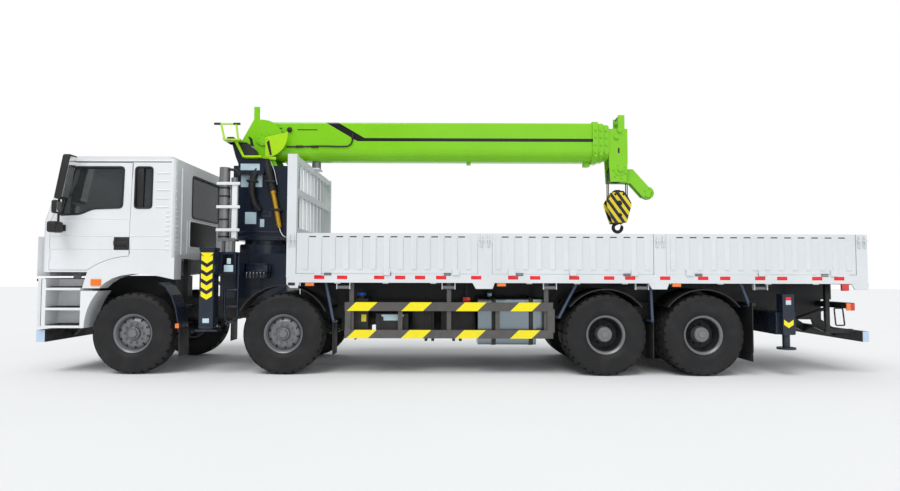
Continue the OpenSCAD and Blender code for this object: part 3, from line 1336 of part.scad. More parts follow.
module boom_base() {
  color(green_paint) difference() {
    union() {
      boom_tube(0, boom_pin_x - tail_len, boom_end_x + cut, boom_wall);
      boom_tube(-collar_grow, boom_end_x, boom_end_x + collar_len, boom_wall + collar_grow);
      pair() {
        cyl_y(boom_pin_x, boom_pin_z, boss_r, boom_w / 2 - boom_wall, cheek_y[0] - gap);
        side_plate(concat([[lift_b[0] - lug_r * 2, boom_low_z + boom_wall / 2]], arc(lift_b,
          head_lug_r, 180, 360, 8), [[lift_b[0] + lug_r * 2, boom_low_z + boom_wall / 2]]),
            lug_y[0] - plate_t * 2, lug_y[0] - plate_t);
      }
    }
    cyl_y(boom_pin_x, boom_pin_z, boom_pin_r + pin_gap, -boom_w, boom_w);
    pair() cyl_y(lift_b[0], lift_b[1], lift_pin_r + pin_gap, 0, lug_y[1]);
  }
}
module boom_mid_1() { color(green_paint) boom_section(1); }
module boom_mid_2() { color(green_paint) boom_section(2); }
head_x0 = boom_end_x + (collar_len + collar_gap) * 3;
head_len = 294;
head_plate_t = 22;
head_drop = 312; // head plates below the boom's underside
head_low_z = boom_low_z - head_drop;
head_prong_x = [150, 250];
head_prong_rise = 1052; // rope guide's tip above the head's foot
guide_r = 48;
sheave_x = 165;
sheave_rise = 155;
sheave_z = head_low_z + sheave_rise;
sheave_r = 140;
head_half = boom_w / 2 - step_in * 3;
nose_rises = [[190, 208], [393, 208], [690, -125], [655, -235], [555, -235], [362, -17],
  [190, -8]]; // from the head's foot
nose_y = 60;
nose_sheave = [637, -165];
nose_r = 98;
module boom_tip() {
  top = boom_low_z + boom_h - step_in * 3;
  color(green_paint) union() {
    x0 = boom_pin_x + inner_start + section_lead * 3;
    low = boom_low_z + step_in * 3;
    boom_tube(step_in * 3, x0, head_x0 + head_len, boom_wall);
    box([x0, -pad_half, low - section_gap + pin_gap], [x0 + pad_len, pad_half, low + cut]);
    box([x0, -pad_half, top - cut], [x0 + pad_len, pad_half, top + section_gap - pin_gap]);
    pair() side_plate([
      [head_x0, boom_low_z + step_in * 3], [head_x0 + plate_t, head_low_z],
        [head_x0 + head_len - plate_t, head_low_z],
      [head_x0 + head_len, boom_low_z], [head_x0 + head_len, top], [head_x0 + head_prong_x[1], top],
      [head_x0 + head_prong_x[1], head_low_z + head_prong_rise],
      [head_x0 + head_prong_x[0], head_low_z + head_prong_rise], [head_x0 + head_prong_x[0], top],
        [head_x0, top]
    ], head_half - boom_wall / 2, head_half + head_plate_t);
    cyl_y(head_x0 + sheave_x, sheave_z, sheave_r, gap * 2 - head_half, head_half - gap * 2);
    cyl_y(head_x0 + sheave_x, sheave_z, boom_pin_r, -head_half - head_plate_t, head_half + head_plate_t);
    cyl_y(head_x0 + (head_prong_x[0] + head_prong_x[1]) / 2, head_low_z + head_prong_rise - boom_pin_r,
      guide_r, -head_half - cut, head_half + cut);
    pair() side_plate([for (p = nose_rises) [head_x0 + p[0], head_low_z + p[1]]], nose_y,
      nose_y + head_plate_t);
    cyl_y(head_x0 + nose_sheave[0], head_low_z + nose_sheave[1], nose_r, -nose_y + gap,
      nose_y - gap);
    cyl_y(head_x0 + nose_sheave[0], head_low_z + nose_sheave[1], lift_pin_r, -nose_y - head_plate_t,
      nose_y + head_plate_t);
  }
}

// Lift cylinder: barrel on the column's lugs, rod to the boom's lugs
lift_run = lift_b - lift_a;
lift_len = norm(lift_run);
lift_tilt = atan2(lift_run[0], lift_run[1]);
barrel_r = 75;
barrel_eye_r = 72;
barrel_bore = 62;
barrel_z = [50, 980];
rod_r = 50;
rod_eye_r = 55;
piston_z = [100, 140];
gland_t = 30;
module lift_place() { translate([lift_a[0], 0, lift_a[1]]) rotate([0, lift_tilt, 0]) children(); }
module lift_barrel() {
  color(navy_paint) lift_place() difference() {
    union() {
      cyl_y(0, 0, barrel_eye_r, gap - lug_y[0], lug_y[0] - gap);
      cyl_z(0, 0, barrel_r, barrel_z[0], barrel_z[1]);
    }
    cyl_y(0, 0, lift_pin_r + pin_gap, -lug_y[1], lug_y[1]);
    cyl_z(0, 0, barrel_bore, piston_z[0] - gap, barrel_z[1] - gland_t);
    cyl_z(0, 0, rod_r + pin_gap, piston_z[0], barrel_z[1] + cut);
  }
}
module lift_rod() {
  color(alloy) lift_place() difference() {
    union() {
      cyl_z(0, 0, rod_r, piston_z[0], lift_len);
      cyl_z(0, 0, barrel_bore - pin_gap, piston_z[0], piston_z[1]);
      cyl_y(0, lift_len, rod_eye_r, plate_t * 2 + gap - lug_y[0], lug_y[0] - plate_t * 2 - gap);
    }
    cyl_y(0, lift_len, lift_pin_r + pin_gap, -lug_y[1], lug_y[1]);
  }
}

// Hoist rope: taut falls between the head sheave and the hook block
rope_r = 9;
rope_y = 45;
block_gap = 268; // block below the head sheave's middle
block_h = 452;
block_top_z = sheave_z - block_gap;
block_low_z = block_top_z - block_h;
hook_x = head_x0 + sheave_x;
module hoist_rope() {
  spread = sheave_r + rope_r + seat;
  color(dark_steel) for (sx = [-1, 1], sy = [-1, 1])
    cyl_z(hook_x + sx * spread, sy * rope_y, rope_r, (block_top_z + block_low_z) / 2, sheave_z);
}

// Hook block: cheek plates, sheaves, crosshead and hook
block_half_shares = [[-0.52, 1.00], [0.52, 1.00], [1.00, 0.47], [0.56, 0.00], [-0.56, 0.00], [-1.00, 0.47]];
block_half_w = 213;
block_y = [80, 120];
block_sheave_y = 60;
crosshead_h = 60;
hook_r = 28;
hook_ring_r = 65;
hook_drop = 140; // hook's ring below the block
hook_z = block_low_z - hook_drop;
hook_sweep = 285;
shank_r = 32;
module hook_block() {
  rise = block_top_z - block_low_z;
  mid_z = block_low_z + rise / 2;
  color("gold") union() {
    pair() side_plate([for (s = block_half_shares) [hook_x + block_half_w * s[0],
      block_low_z + rise * s[1]]], block_y[0], block_y[1]);
    cyl_y(hook_x, mid_z, sheave_r, -block_sheave_y, block_sheave_y);
    cyl_y(hook_x, mid_z, lift_pin_r, -block_y[1] - plate_t, block_y[1] + plate_t);
    box([hook_x - block_half_w / 2, -block_y[0] - cut, block_low_z],
      [hook_x + block_half_w / 2, block_y[0] + cut, block_low_z + crosshead_h]);
    cyl_z(hook_x, 0, shank_r, hook_z + hook_ring_r - hook_r / 2, block_low_z + cut);
    translate([hook_x, 0, hook_z]) rotate([90, 0, 0]) rotate([0, 0, 90])
      rotate_extrude(angle = hook_sweep) translate([hook_ring_r, 0]) circle(r = hook_r);
  }
}

chassis_frame();
driveline();
axles();
springs();
front_bumper();
guards();
lamps();
mudguards();
fuel_tank();
side_boxes();
intake_stack();
bed_floor();
headboard();
outrigger_frames();
cab_shell();
cab_glass();
cab_interior();
front_panel();
door_left();
door_right();
door_glass_left();
door_glass_right();
mirror_left();
mirror_right();
knuckle_1_left();
knuckle_1_right();
knuckle_2_left();
knuckle_2_right();
wheel_1_left();
wheel_1_right();
wheel_2_left();
wheel_2_right();
wheel_3_left();
wheel_3_right();
wheel_4_left();
wheel_4_right();
gate_1_left();
gate_2_left();
gate_3_left();
gate_1_right();
gate_2_right();
gate_3_right();
tailgate();
outrigger_left();
outrigger_right();
jack_front_left();
jack_front_right();
jack_rear_left();
jack_rear_right();
column();
operator_station();
boom_base();
boom_mid_1();
boom_mid_2();
boom_tip();
lift_barrel();
lift_rod();
hoist_rope();
hook_block();
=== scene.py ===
import math

import bmesh
import bpy
from mathutils import Matrix, Vector


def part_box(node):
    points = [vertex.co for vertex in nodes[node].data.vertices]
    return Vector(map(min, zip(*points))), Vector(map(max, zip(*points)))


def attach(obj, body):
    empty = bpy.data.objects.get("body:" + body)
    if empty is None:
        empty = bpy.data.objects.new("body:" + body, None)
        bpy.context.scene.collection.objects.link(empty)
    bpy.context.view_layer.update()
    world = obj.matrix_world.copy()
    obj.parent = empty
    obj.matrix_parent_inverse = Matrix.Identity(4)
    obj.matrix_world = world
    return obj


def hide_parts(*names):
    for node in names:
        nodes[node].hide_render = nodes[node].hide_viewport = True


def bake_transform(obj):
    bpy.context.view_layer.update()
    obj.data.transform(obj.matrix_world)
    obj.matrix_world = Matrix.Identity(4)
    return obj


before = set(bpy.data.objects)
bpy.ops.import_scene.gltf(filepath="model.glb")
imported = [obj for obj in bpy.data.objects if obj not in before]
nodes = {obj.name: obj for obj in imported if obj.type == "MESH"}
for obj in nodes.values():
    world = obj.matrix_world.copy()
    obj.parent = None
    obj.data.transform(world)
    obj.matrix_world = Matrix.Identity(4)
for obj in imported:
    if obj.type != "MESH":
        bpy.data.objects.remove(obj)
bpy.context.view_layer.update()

TURN = 2.0 * math.pi
SIDES = (("left", -1.0), ("right", 1.0))
OUTS = (-1.0, 1.0)
MERGE = 0.00002


# Camera of the photograph
SENSOR_MM, FOCAL_MM, FAR_CLIP = 36.0, 24.96, 300.0
CAMERA_AT = (-0.050, -9.862, 1.373)
PAN, TILT, ROLL = (math.radians(angle) for angle in (-0.207, 92.773, 0.157))


def photo_camera():
    lens = bpy.data.cameras.new("photo_camera")
    lens.sensor_width = SENSOR_MM
    lens.lens = FOCAL_MM
    lens.clip_end = FAR_CLIP
    camera = bpy.data.objects.new("photo_camera", lens)
    bpy.context.collection.objects.link(camera)
    aim = Matrix.Rotation(PAN, 4, "Z") @ Matrix.Rotation(TILT, 4, "X") @ Matrix.Rotation(ROLL, 4, "Z")
    camera.matrix_world = Matrix.Translation(CAMERA_AT) @ aim
    bpy.context.scene.camera = camera


photo_camera()


# Shader maths
class Wire:
    """One socket of a finish. Arithmetic on it adds Math nodes; node() adds any other node."""

    def __init__(self, tree, socket=None):
        self.tree = tree
        self.socket = socket

    def node(self, kind, settings=None, inputs=None, out=0):
        made = self.tree.nodes.new(kind)
        for name, value in (settings or {}).items():
            setattr(made, name, value)
        for name, value in (inputs or {}).items():
            if isinstance(value, Wire):
                self.tree.links.new(value.socket, made.inputs[name])
            else:
                made.inputs[name].default_value = value
        return Wire(self.tree, made.outputs[out] if len(made.outputs) else None)

    def out(self, name):
        return Wire(self.tree, self.socket.node.outputs[name])

    def math(self, operation, first, second=0.0):
        return self.node("ShaderNodeMath", {"operation": operation}, {0: first, 1: second})

    def __add__(self, other):
        return self.math("ADD", self, other)

    def __sub__(self, other):
        return self.math("SUBTRACT", self, other)

    def __rsub__(self, other):
        return self.math("SUBTRACT", other, self)

    def __mul__(self, other):
        return self.math("MULTIPLY", self, other)

    def __mod__(self, other):
        return self.math("FLOORED_MODULO", self, other)

    def __gt__(self, other):
        return self.math("GREATER_THAN", self, other)

    def __lt__(self, other):
        return self.math("LESS_THAN", self, other)

    def __abs__(self):
        return self.math("ABSOLUTE", self)

    def either(self, other):
        return self.math("MAXIMUM", self, other)

    def clamp(self):
        return self.node("ShaderNodeClamp", {}, {0: self})

    def inside(self, low, high):
        return (self > low) * (self < high)

    def tint(self, under, over):
        """A colour: under where this mask is 0, over where it is 1."""
        return self.node("ShaderNodeMix", {"data_type": "RGBA"}, {0: self, 6: under, 7: over}, 2)


def colour(red, green, blue):
    return (red, green, blue, 1.0)


def deeper(shade, by):
    return (shade[0] * by, shade[1] * by, shade[2] * by, 1.0)


def start_finish(name):
    made = bpy.data.materials.new(name)
    made.use_nodes = True
    made.node_tree.nodes.clear()
    pen = Wire(made.node_tree)
    return made, pen, pen.node("ShaderNodeTexCoord", out="Object")


def axes_of(pen, spot):
    x = pen.node("ShaderNodeSeparateXYZ", {}, {0: spot})
    return x, x.out(1), x.out(2)


def cloud(pen, spot, scale, detail=4.0, roughness=0.55):
    inputs = {"Vector": spot, "Scale": scale, "Detail": detail, "Roughness": roughness}
    return pen.node("ShaderNodeTexNoise", {}, inputs)


def close_finish(pen, height, depth=0.001, strength=0.3, **sockets):
    if height is not None:
        bump = {"Height": height, "Strength": strength, "Distance": depth}
        sockets["Normal"] = pen.node("ShaderNodeBump", {}, bump)
    inputs = {name.replace("_", " "): value for name, value in sockets.items()}
    shader = pen.node("ShaderNodeBsdfPrincipled", {}, inputs)
    pen.node("ShaderNodeOutputMaterial", {}, {"Surface": shader})


ROAD_DUST = colour(0.30, 0.27, 0.23)
PAINT_DUST_TOP, PLASTIC_DUST_TOP = 1.25, 1.3
MOTTLE, PLASTIC_DUST = 0.93, 0.12


def paint(name, shade, rough, coat, dust, marks=None, metal=0.0):
    """Sprayed paint: faint mottling, road dust low down, orange peel, and any masked marks on top, which on
    the gates include painted shade and a painted highlight on the ribs.
    """
    made, pen, spot = start_finish(name)
    x, y, z = axes_of(pen, spot)
    broad = cloud(pen, spot, 1.3)
    peel = cloud(pen, spot, 160.0, 2.0)
    streak = cloud(pen, spot, 9.0, 9.0, 0.65)
    base = ((broad - 0.38) * 3.5).clamp().tint(deeper(shade, MOTTLE), shade)
    for mask, other in (marks(x, y, z) if marks else ()):
        base = mask.tint(base, other)
    low = ((PAINT_DUST_TOP - z) * 0.9).clamp() * ((streak - 0.42) * 3.6).clamp() * dust
    base = low.tint(base, ROAD_DUST)
    close_finish(pen, peel * 0.12, 0.002, 0.25, Base_Color=base,
                 Roughness=broad * 0.14 + low * 0.5 + (rough - 0.07),
                 Metallic=metal, Coat_Weight=coat, Coat_Roughness=0.08, Specular_IOR_Level=0.3)
    return made


WHITE = colour(0.80, 0.815, 0.83)
BED_WHITE = colour(0.72, 0.745, 0.765)
LIME = colour(0.230, 0.640, 0.006)
LIME_BRIGHT = colour(0.440, 0.800, 0.006)
NAVY = colour(0.0095, 0.0165, 0.034)
YELLOW = colour(0.92, 0.78, 0.006)
RED = colour(0.80, 0.012, 0.016)
AMBER = colour(0.90, 0.19, 0.006)
GUARD = colour(0.092, 0.089, 0.086)


STRIPE_LOW, STRIPE_TOP, STRIPE_START, STRIPE_END = 3.466, 3.517, -1.46, 2.21


def boom_stripe(x, y, z):
    """A dark line along the boom's side that rises in a slanted band at its root."""
    side = abs(y) > 0.15
    slope = x + (z - STRIPE_TOP) * 1.7
    band = slope.inside(-1.55, -1.355) * (z > STRIPE_LOW)
    line = z.inside(STRIPE_LOW, STRIPE_TOP) * x.inside(STRIPE_START, STRIPE_END)
    return [(band.either(line) * side * (x < STRIPE_END), colour(0.008, 0.008, 0.010))]


JACK_X = {"left": -3.367, "right": -3.147}
REAR_JACK_X = 4.648
JACK_SHIFT = 0.220
JACK_FACE = 1.242


def jack_chevrons(x, y, z):
    """Five arrow heads down the outer face of a front jack, the first a solid triangle."""
    across = abs(x - JACK_X["left"])
    rise = z - across * 0.62
    step = (rise - 1.035) % 0.124
    arrow = (step < 0.070) * rise.inside(1.035, 1.60) * (across < 0.078)
    head = (z < 1.683) * ((z - 1.585) > across * 1.05) * (across < 0.088)
    return [(arrow.either(head) * (abs(y) > JACK_FACE), YELLOW)]


def jack_chevrons_right(x, y, z):
    return jack_chevrons(x - JACK_SHIFT, y, z)


def rear_jack_arrow(x, y, z):
    across = abs(x - REAR_JACK_X)
    rise = z - across * 0.7
    return [(rise.inside(0.665, 0.735) * (across < 0.066) * (abs(y) > JACK_FACE), YELLOW)]


SLASH_PITCH, SLASH_WIDTH = 0.752, 0.298


def guard_slashes(x, y, z):
    """Yellow slanted bars on both rails of the side guards."""
    slant = x - (z - 0.51) * 1.05
    low_rail = z < 0.75
    run = (slant + 1.445 + (1.0 - low_rail) * 0.39) % SLASH_PITCH
    return [((run < SLASH_WIDTH) * (abs(y) > 1.195), YELLOW)]


def block_slashes(x, y, z):
    run = (x + z * 0.72 + 10.0) % 0.118
    edge = (z > 2.690).either(z < 2.215)
    return [((run < 0.060).either(edge), colour(0.010, 0.010, 0.010))]


RIB_PITCH, RIB_WIDTH = 0.187, 0.070


def gate_slots_and_painted_rib_light(start, end):
    """Drain slots under a gate's top rail, painted shade in the grooves and on one side of each rib, and a
    painted highlight on the other side of each rib, in step with the ribs of that gate.
    """
    ribs = math.floor((end - start - RIB_WIDTH) / RIB_PITCH)
    first = start + (end - start - ribs * RIB_PITCH) / 2.0

    def marks(x, y, z):
        off = (x - first + RIB_PITCH / 2.0) % RIB_PITCH - RIB_PITCH / 2.0
        far = abs(off)
        rows = (abs(y) > 1.235) * x.inside(first, first + ribs * RIB_PITCH)
        panel = z.inside(1.462, 1.897) * rows
        # Painted shade in the grooves, painted shade on one side of each rib and a painted highlight on the
        # other; the last mark is the dark drain slots.
        return [((far > 0.036) * panel, deeper(BED_WHITE, 0.94)),
                (far.inside(0.033, 0.040) * (off > 0.0) * panel, deeper(BED_WHITE, 0.80)),
                (far.inside(0.033, 0.039) * (off < 0.0) * panel, colour(0.80, 0.82, 0.84)),
                (z.inside(1.900, 1.916) * (far > 0.047) * rows, colour(0.03, 0.03, 0.032))]
    return marks


cab_white = paint("cab_white_gloss", WHITE, 0.22, 0.8, 0.10)
bed_white = paint("bed_white_enamel", BED_WHITE, 0.36, 0.3, 0.14)
tape_red = paint("rail_tape_red", RED, 0.30, 0.4, 0.0)
lime_paint = paint("boom_lime_gloss", LIME, 0.24, 0.3, 0.0)
lime_striped = paint("boom_lime_with_stripe", LIME, 0.24, 0.3, 0.0, boom_stripe)
lime_bright = paint("cheek_bright_lime", LIME_BRIGHT, 0.28, 0.3, 0.0)
navy_paint = paint("crane_navy_gloss", NAVY, 0.26, 0.35, 0.10)
navy_jack = paint("front_jack_navy_left", NAVY, 0.26, 0.35, 0.10, jack_chevrons)
navy_jack_right = paint("front_jack_navy_right", NAVY, 0.26, 0.35, 0.10, jack_chevrons_right)
navy_rear = paint("rear_jack_navy", NAVY, 0.26, 0.35, 0.10, rear_jack_arrow)
guard_paint = paint("side_guard_grey", GUARD, 0.42, 0.1, 0.25, guard_slashes)
guard_plain = paint("side_guard_plain", GUARD, 0.42, 0.1, 0.25)
block_paint = paint("hook_block_slashes", colour(0.85, 0.66, 0.01), 0.34, 0.4, 0.0, block_slashes)
frame_black = paint("frame_black_chassis", colour(0.016, 0.017, 0.019), 0.45, 0.1, 0.22)
wheel_grey = paint("wheel_silver_grey", colour(0.20, 0.206, 0.216), 0.38, 0.2, 0.05, metal=0.35)
# Dark for the hand-hole ring and the deep dishes of the rims: painted shade.
rim_painted_shade_dark = paint("wheel_dish_painted_shade", colour(0.016, 0.018, 0.021), 0.45, 0.1, 0.10)
label_blank = paint("label_plate_pale", colour(0.55, 0.72, 0.80), 0.40, 0.2, 0.0)
cap_blue = paint("additive_cap_blue", colour(0.02, 0.09, 0.42), 0.40, 0.2, 0.05)
stack_grey = paint("intake_stack_grey", colour(0.25, 0.25, 0.255), 0.30, 0.3, 0.0, metal=0.6)


def moulded(name, shade, rough=0.55, grain=220.0):
    """Moulded plastic: fine leather grain and a soft sheen."""
    made, pen, spot = start_finish(name)
    z = axes_of(pen, spot)[2]
    broad = cloud(pen, spot, 3.0)
    cells = pen.node("ShaderNodeTexVoronoi", {"feature": "DISTANCE_TO_EDGE"},
                     {"Vector": spot, "Scale": grain})
    low = ((PLASTIC_DUST_TOP - z) * 0.8).clamp() * ((broad - 0.40) * 3.0).clamp() * PLASTIC_DUST
    base = low.tint(broad.tint(deeper(shade, 0.75), deeper(shade, 1.2)), ROAD_DUST)
    close_finish(pen, cells, 0.0006, 0.35, Base_Color=base, Roughness=broad * 0.16 + (rough - 0.08))
    return made


def tyre_rubber():
    made, pen, spot = start_finish("tyre_rubber")
    broad = cloud(pen, spot, 5.0, 6.0)
    fine = cloud(pen, spot, 130.0, 3.0)
    low = ((broad - 0.46) * 4.0).clamp() * 0.22
    rubber = broad.tint(colour(0.010, 0.010, 0.011), colour(0.019, 0.019, 0.020))
    base = low.tint(rubber, colour(0.045, 0.044, 0.043))
    close_finish(pen, fine, 0.0012, 0.4, Base_Color=base, Roughness=broad * 0.2 + 0.52,
                 Specular_IOR_Level=0.3)
    return made


def brushed(name, shade, rough, along=(1.0, 60.0, 60.0)):
    """Bare metal with fine drawn lines along one axis."""
    made, pen, spot = start_finish(name)
    drawn = pen.node("ShaderNodeMapping", {}, {"Vector": spot, "Scale": along})
    lines = cloud(pen, drawn, 6.0, 5.0, 0.7)
    broad = cloud(pen, spot, 2.6)
    close_finish(pen, lines, 0.0006, 0.25, Base_Color=broad.tint(deeper(shade, 0.82), shade),
                 Roughness=lines * 0.2 + (rough - 0.1), Metallic=1.0)
    return made


def rope_wire():
    made, pen, spot = start_finish("hoist_wire_rope")
    twist = pen.node("ShaderNodeTexWave", {"wave_type": "BANDS", "bands_direction": "DIAGONAL"},
                     {"Vector": spot, "Scale": 60.0, "Distortion": 0.4}, 1)
    base = twist.tint(colour(0.05, 0.05, 0.05), colour(0.24, 0.235, 0.23))
    close_finish(pen, twist, 0.003, 0.6, Base_Color=base, Roughness=twist * 0.15 + 0.38, Metallic=0.8)
    return made


def window_glass():
    made, pen, spot = start_finish("cab_window_glass")
    haze = cloud(pen, spot, 2.2, 5.0)
    base = haze.tint(colour(0.020, 0.026, 0.028), colour(0.050, 0.060, 0.062))
    close_finish(pen, None, Base_Color=base, Roughness=haze * 0.05 + 0.01, Alpha=0.72, Coat_Weight=1.0,
                 Coat_Roughness=0.02, Specular_IOR_Level=0.8)
    return made


def lens(name, shade, glow):
    """A moulded lamp lens with its fluting."""
    made, pen, spot = start_finish(name)
    flute = pen.node("ShaderNodeTexWave", {"bands_direction": "Y"}, {"Vector": spot, "Scale": 30.0}, 1)
    broad = cloud(pen, spot, 14.0)
    close_finish(pen, flute, 0.003, 0.5, Base_Color=broad.tint(deeper(shade, 0.75), shade),
                 Roughness=broad * 0.1 + 0.08, Coat_Weight=1.0, Emission_Color=shade, Emission_Strength=glow)
    return made


THREADS = 420.0


def seat_cloth(name, shade):
    """Woven cloth with a little sheen."""
    made, pen, spot = start_finish(name)
    x, y, z = axes_of(pen, spot)
    weave = pen.math("SINE", x * THREADS) * pen.math("SINE", (z + y) * THREADS)
    broad = cloud(pen, spot, 7.0)
    close_finish(pen, weave, 0.0008, 0.4, Base_Color=broad.tint(deeper(shade, 0.7), deeper(shade, 1.25)),
                 Roughness=broad * 0.1 + 0.80, Sheen_Weight=0.3)
    return made


black_plastic = moulded("black_plastic", colour(0.014, 0.014, 0.015))
grey_plastic = moulded("dash_grey_plastic", colour(0.085, 0.085, 0.088))
mat_rubber = moulded("flap_rubber", colour(0.012, 0.012, 0.013), 0.62, 90.0)
hose_rubber = moulded("hose_rubber", colour(0.011, 0.011, 0.012), 0.48, 320.0)
tyre_black = tyre_rubber()
tank_alloy = brushed("tank_alloy", colour(0.27, 0.32, 0.355), 0.30)
rod_chrome = brushed("rod_chrome", colour(0.78, 0.79, 0.80), 0.14, (40.0, 40.0, 1.0))
mirror_silver = brushed("mirror_silver", colour(0.86, 0.87, 0.88), 0.13, (2.0, 2.0, 2.0))
gold_sleeve = brushed("hose_gold_sleeve", colour(0.80, 0.46, 0.06), 0.36, (60.0, 60.0, 3.0))
wire_rope = rope_wire()
glass = window_glass()
lens_clear = lens("lamp_lens_clear", colour(0.70, 0.74, 0.78), 0.05)
lens_amber = lens("lamp_lens_amber", AMBER, 0.15)
lens_red = lens("lamp_lens_red", colour(0.62, 0.010, 0.010), 0.12)
seat_grey = seat_cloth("cab_seat_cloth", colour(0.060, 0.062, 0.068))
bar_pale = paint("underrun_end_pale_blue", colour(0.52, 0.66, 0.84), 0.35, 0.3, 0.10)
seat_black = seat_cloth("station_seat_cover", colour(0.014, 0.014, 0.015))
label_yellow = paint("label_plate_yellow", colour(0.75, 0.62, 0.05), 0.40, 0.2, 0.0)
red_gloss = paint("valve_red_gloss", colour(0.62, 0.015, 0.018), 0.28, 0.6, 0.0)
stay_blue = paint("stay_blue_grey", colour(0.060, 0.085, 0.135), 0.36, 0.3, 0.15)


# Dressing of the CAD nodes
def dress(node, *finishes, pick=None):
    mesh = nodes[node].data
    mesh.materials.clear()
    for finish in finishes:
        mesh.materials.append(finish)
    for face in mesh.polygons:
        face.material_index = pick(face.center, face.normal) if pick else 0


PLAIN = (
    (frame_black, "chassis_frame driveline axles springs"),
    (cab_white, "cab_shell front_panel front_bumper door_left door_right"),
    (glass, "door_glass_left door_glass_right"),
    (black_plastic, "side_boxes"), (tank_alloy, "fuel_tank"), (stack_grey, "intake_stack"),
    (bed_white, "tailgate"), (navy_jack, "outrigger_left"), (navy_jack_right, "outrigger_right"),
    (navy_paint, "jack_front_left jack_front_right lift_barrel"), (rod_chrome, "lift_rod"),
    (navy_rear, "outrigger_frames"), (lime_striped, "boom_base"),
    (lime_paint, "boom_mid_1 boom_mid_2 boom_tip"),
)
for finish, names in PLAIN:
    for name in names.split():
        dress(name, finish)
for side in dict(SIDES):
    for row in (1, 2, 3):
        low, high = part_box(f"gate_{row}_{side}")
        marks = gate_slots_and_painted_rib_light(low[0], high[0])
        dress(f"gate_{row}_{side}", paint(f"gate_{row}_{side}_white", BED_WHITE, 0.36, 0.3, 0.08, marks))
    for row in (1, 2):
        dress(f"knuckle_{row}_{side}", frame_black)
    dress(f"jack_rear_{side}", navy_paint)
dress("column", navy_paint, lime_paint,
      pick=lambda at, facing: int(at.z > 3.06 and abs(at.y) < 0.30))


def guard_part(at, facing):
    """Side guards grey, underrun bars and lamp beam black, and pale ends on the underrun bars."""
    if abs(at.x) < 5.0 and abs(at.y) > 1.10:
        return 0
    return 2 if at.z < 0.62 and abs(at.y) > 1.10 and abs(facing.y) > 0.9 else 1


dress("guards", guard_paint, frame_black, bar_pale, pick=guard_part)
dress("lamps", lens_clear, lens_red, pick=lambda at, facing: int(at.x > 0))
dress("cab_glass", glass, lens_amber, pick=lambda at, facing: int(at.z < 1.5))
dress("bed_floor", bed_white, frame_black,
      pick=lambda at, facing: int(abs(at.y) < 1.205 and at.z < 1.345))
dress("headboard", bed_white, stack_grey, pick=lambda at, facing: int(at.z > 3.058))
dress("mudguards", black_plastic, navy_paint, pick=lambda at, facing: int(at.x < -3.5))


def round_points(count, radius, shift=0.0):
    """Pairs of (across, up) evenly round a circle."""
    angles = [TURN * (step + shift) / count for step in range(count)]
    return [(radius * math.cos(angle), radius * math.sin(angle)) for angle in angles]


def at_y(y, *spots):
    """Points (x, z) set at one place across the vehicle."""
    return [(x, y, z) for x, z in spots]


def only(kind, parts):
    return [item for item in parts if isinstance(item, kind)]


def slab(bm, low, high, edge, turn=None, steps=2):
    """A block between two corners with rounded edges, turned about its middle."""
    low, high = Vector(low), Vector(high)
    corners = bmesh.ops.create_cube(bm, size=1.0)["verts"]
    bmesh.ops.scale(bm, vec=high - low, verts=corners)
    if turn:
        bmesh.ops.transform(bm, matrix=turn, verts=corners)
    bmesh.ops.translate(bm, vec=(low + high) / 2.0, verts=corners)
    rims = list({line for corner in corners for line in corner.link_edges})
    bmesh.ops.bevel(bm, geom=rims, offset=edge, affect="EDGES", segments=steps, profile=0.5, material=-1)


def bar(bm, start, end, radius, tip=None, sides=20, edge=0.0):
    """A round bar, or a cone, from one point to another."""
    start, end = Vector(start), Vector(end)
    along = end - start
    place = Matrix.Translation((start + end) / 2.0) @ along.to_track_quat("Z", "Y").to_matrix().to_4x4()
    tip = radius if tip is None else tip
    made = bmesh.ops.create_cone(bm, cap_ends=True, segments=sides, radius1=radius, radius2=tip,
                                 depth=along.length, matrix=place)["verts"]
    if edge:
        lines = {line for corner in made for line in corner.link_edges}
        rims = [line for line in lines if any(len(face.verts) == sides for face in line.link_faces)]
        bmesh.ops.bevel(bm, geom=rims, offset=edge, affect="EDGES", segments=2, profile=0.5, material=-1)


STAND = {"Z": Matrix.Identity(4), "Y": Matrix.Rotation(-math.pi / 2, 4, "X"),
         "X": Matrix.Rotation(math.pi / 2, 4, "Y")}


def turned(bm, outline, centre=(0.0, 0.0, 0.0), axis="Y", steps=48, closed=True):
    """A turned part: an outline of (radius, height) points spun about an axis."""
    points = [bm.verts.new((radius, 0.0, height)) for radius, height in outline]
    ends = points[1:] + points[:1] if closed else points[1:]
    lines = [bm.edges.new(pair) for pair in zip(points, ends)]
    before = set(bm.verts) - set(points)
    bmesh.ops.spin(bm, geom=points + lines, cent=(0, 0, 0), axis=(0, 0, 1),
                   angle=TURN, steps=steps, use_merge=True)
    fresh = [v for v in bm.verts if v not in before]
    bmesh.ops.transform(bm, matrix=Matrix.Translation(centre) @ STAND[axis], verts=fresh)


def eased(points, radius, steps=5, loop=False):
    """A polyline whose corners are rounded; the two ends of an open one stay."""
    points = [Vector(p) for p in points]
    ring = points[-1:] + points + points[:1] if loop else points
    path = [] if loop else [points[0]]
    for before, corner, after in zip(ring, ring[1:], ring[2:]):
        back, on = before - corner, after - corner
        reach = min(radius, back.length * 0.49, on.length * 0.49)
        first, last = corner + back.normalized() * reach, corner + on.normalized() * reach
        for step in range(steps + 1):
            share = step / steps
            path.append(first * (1 - share) ** 2 + corner * 2 * share * (1 - share) + last * share ** 2)
    return path if loop else path + [points[-1]]


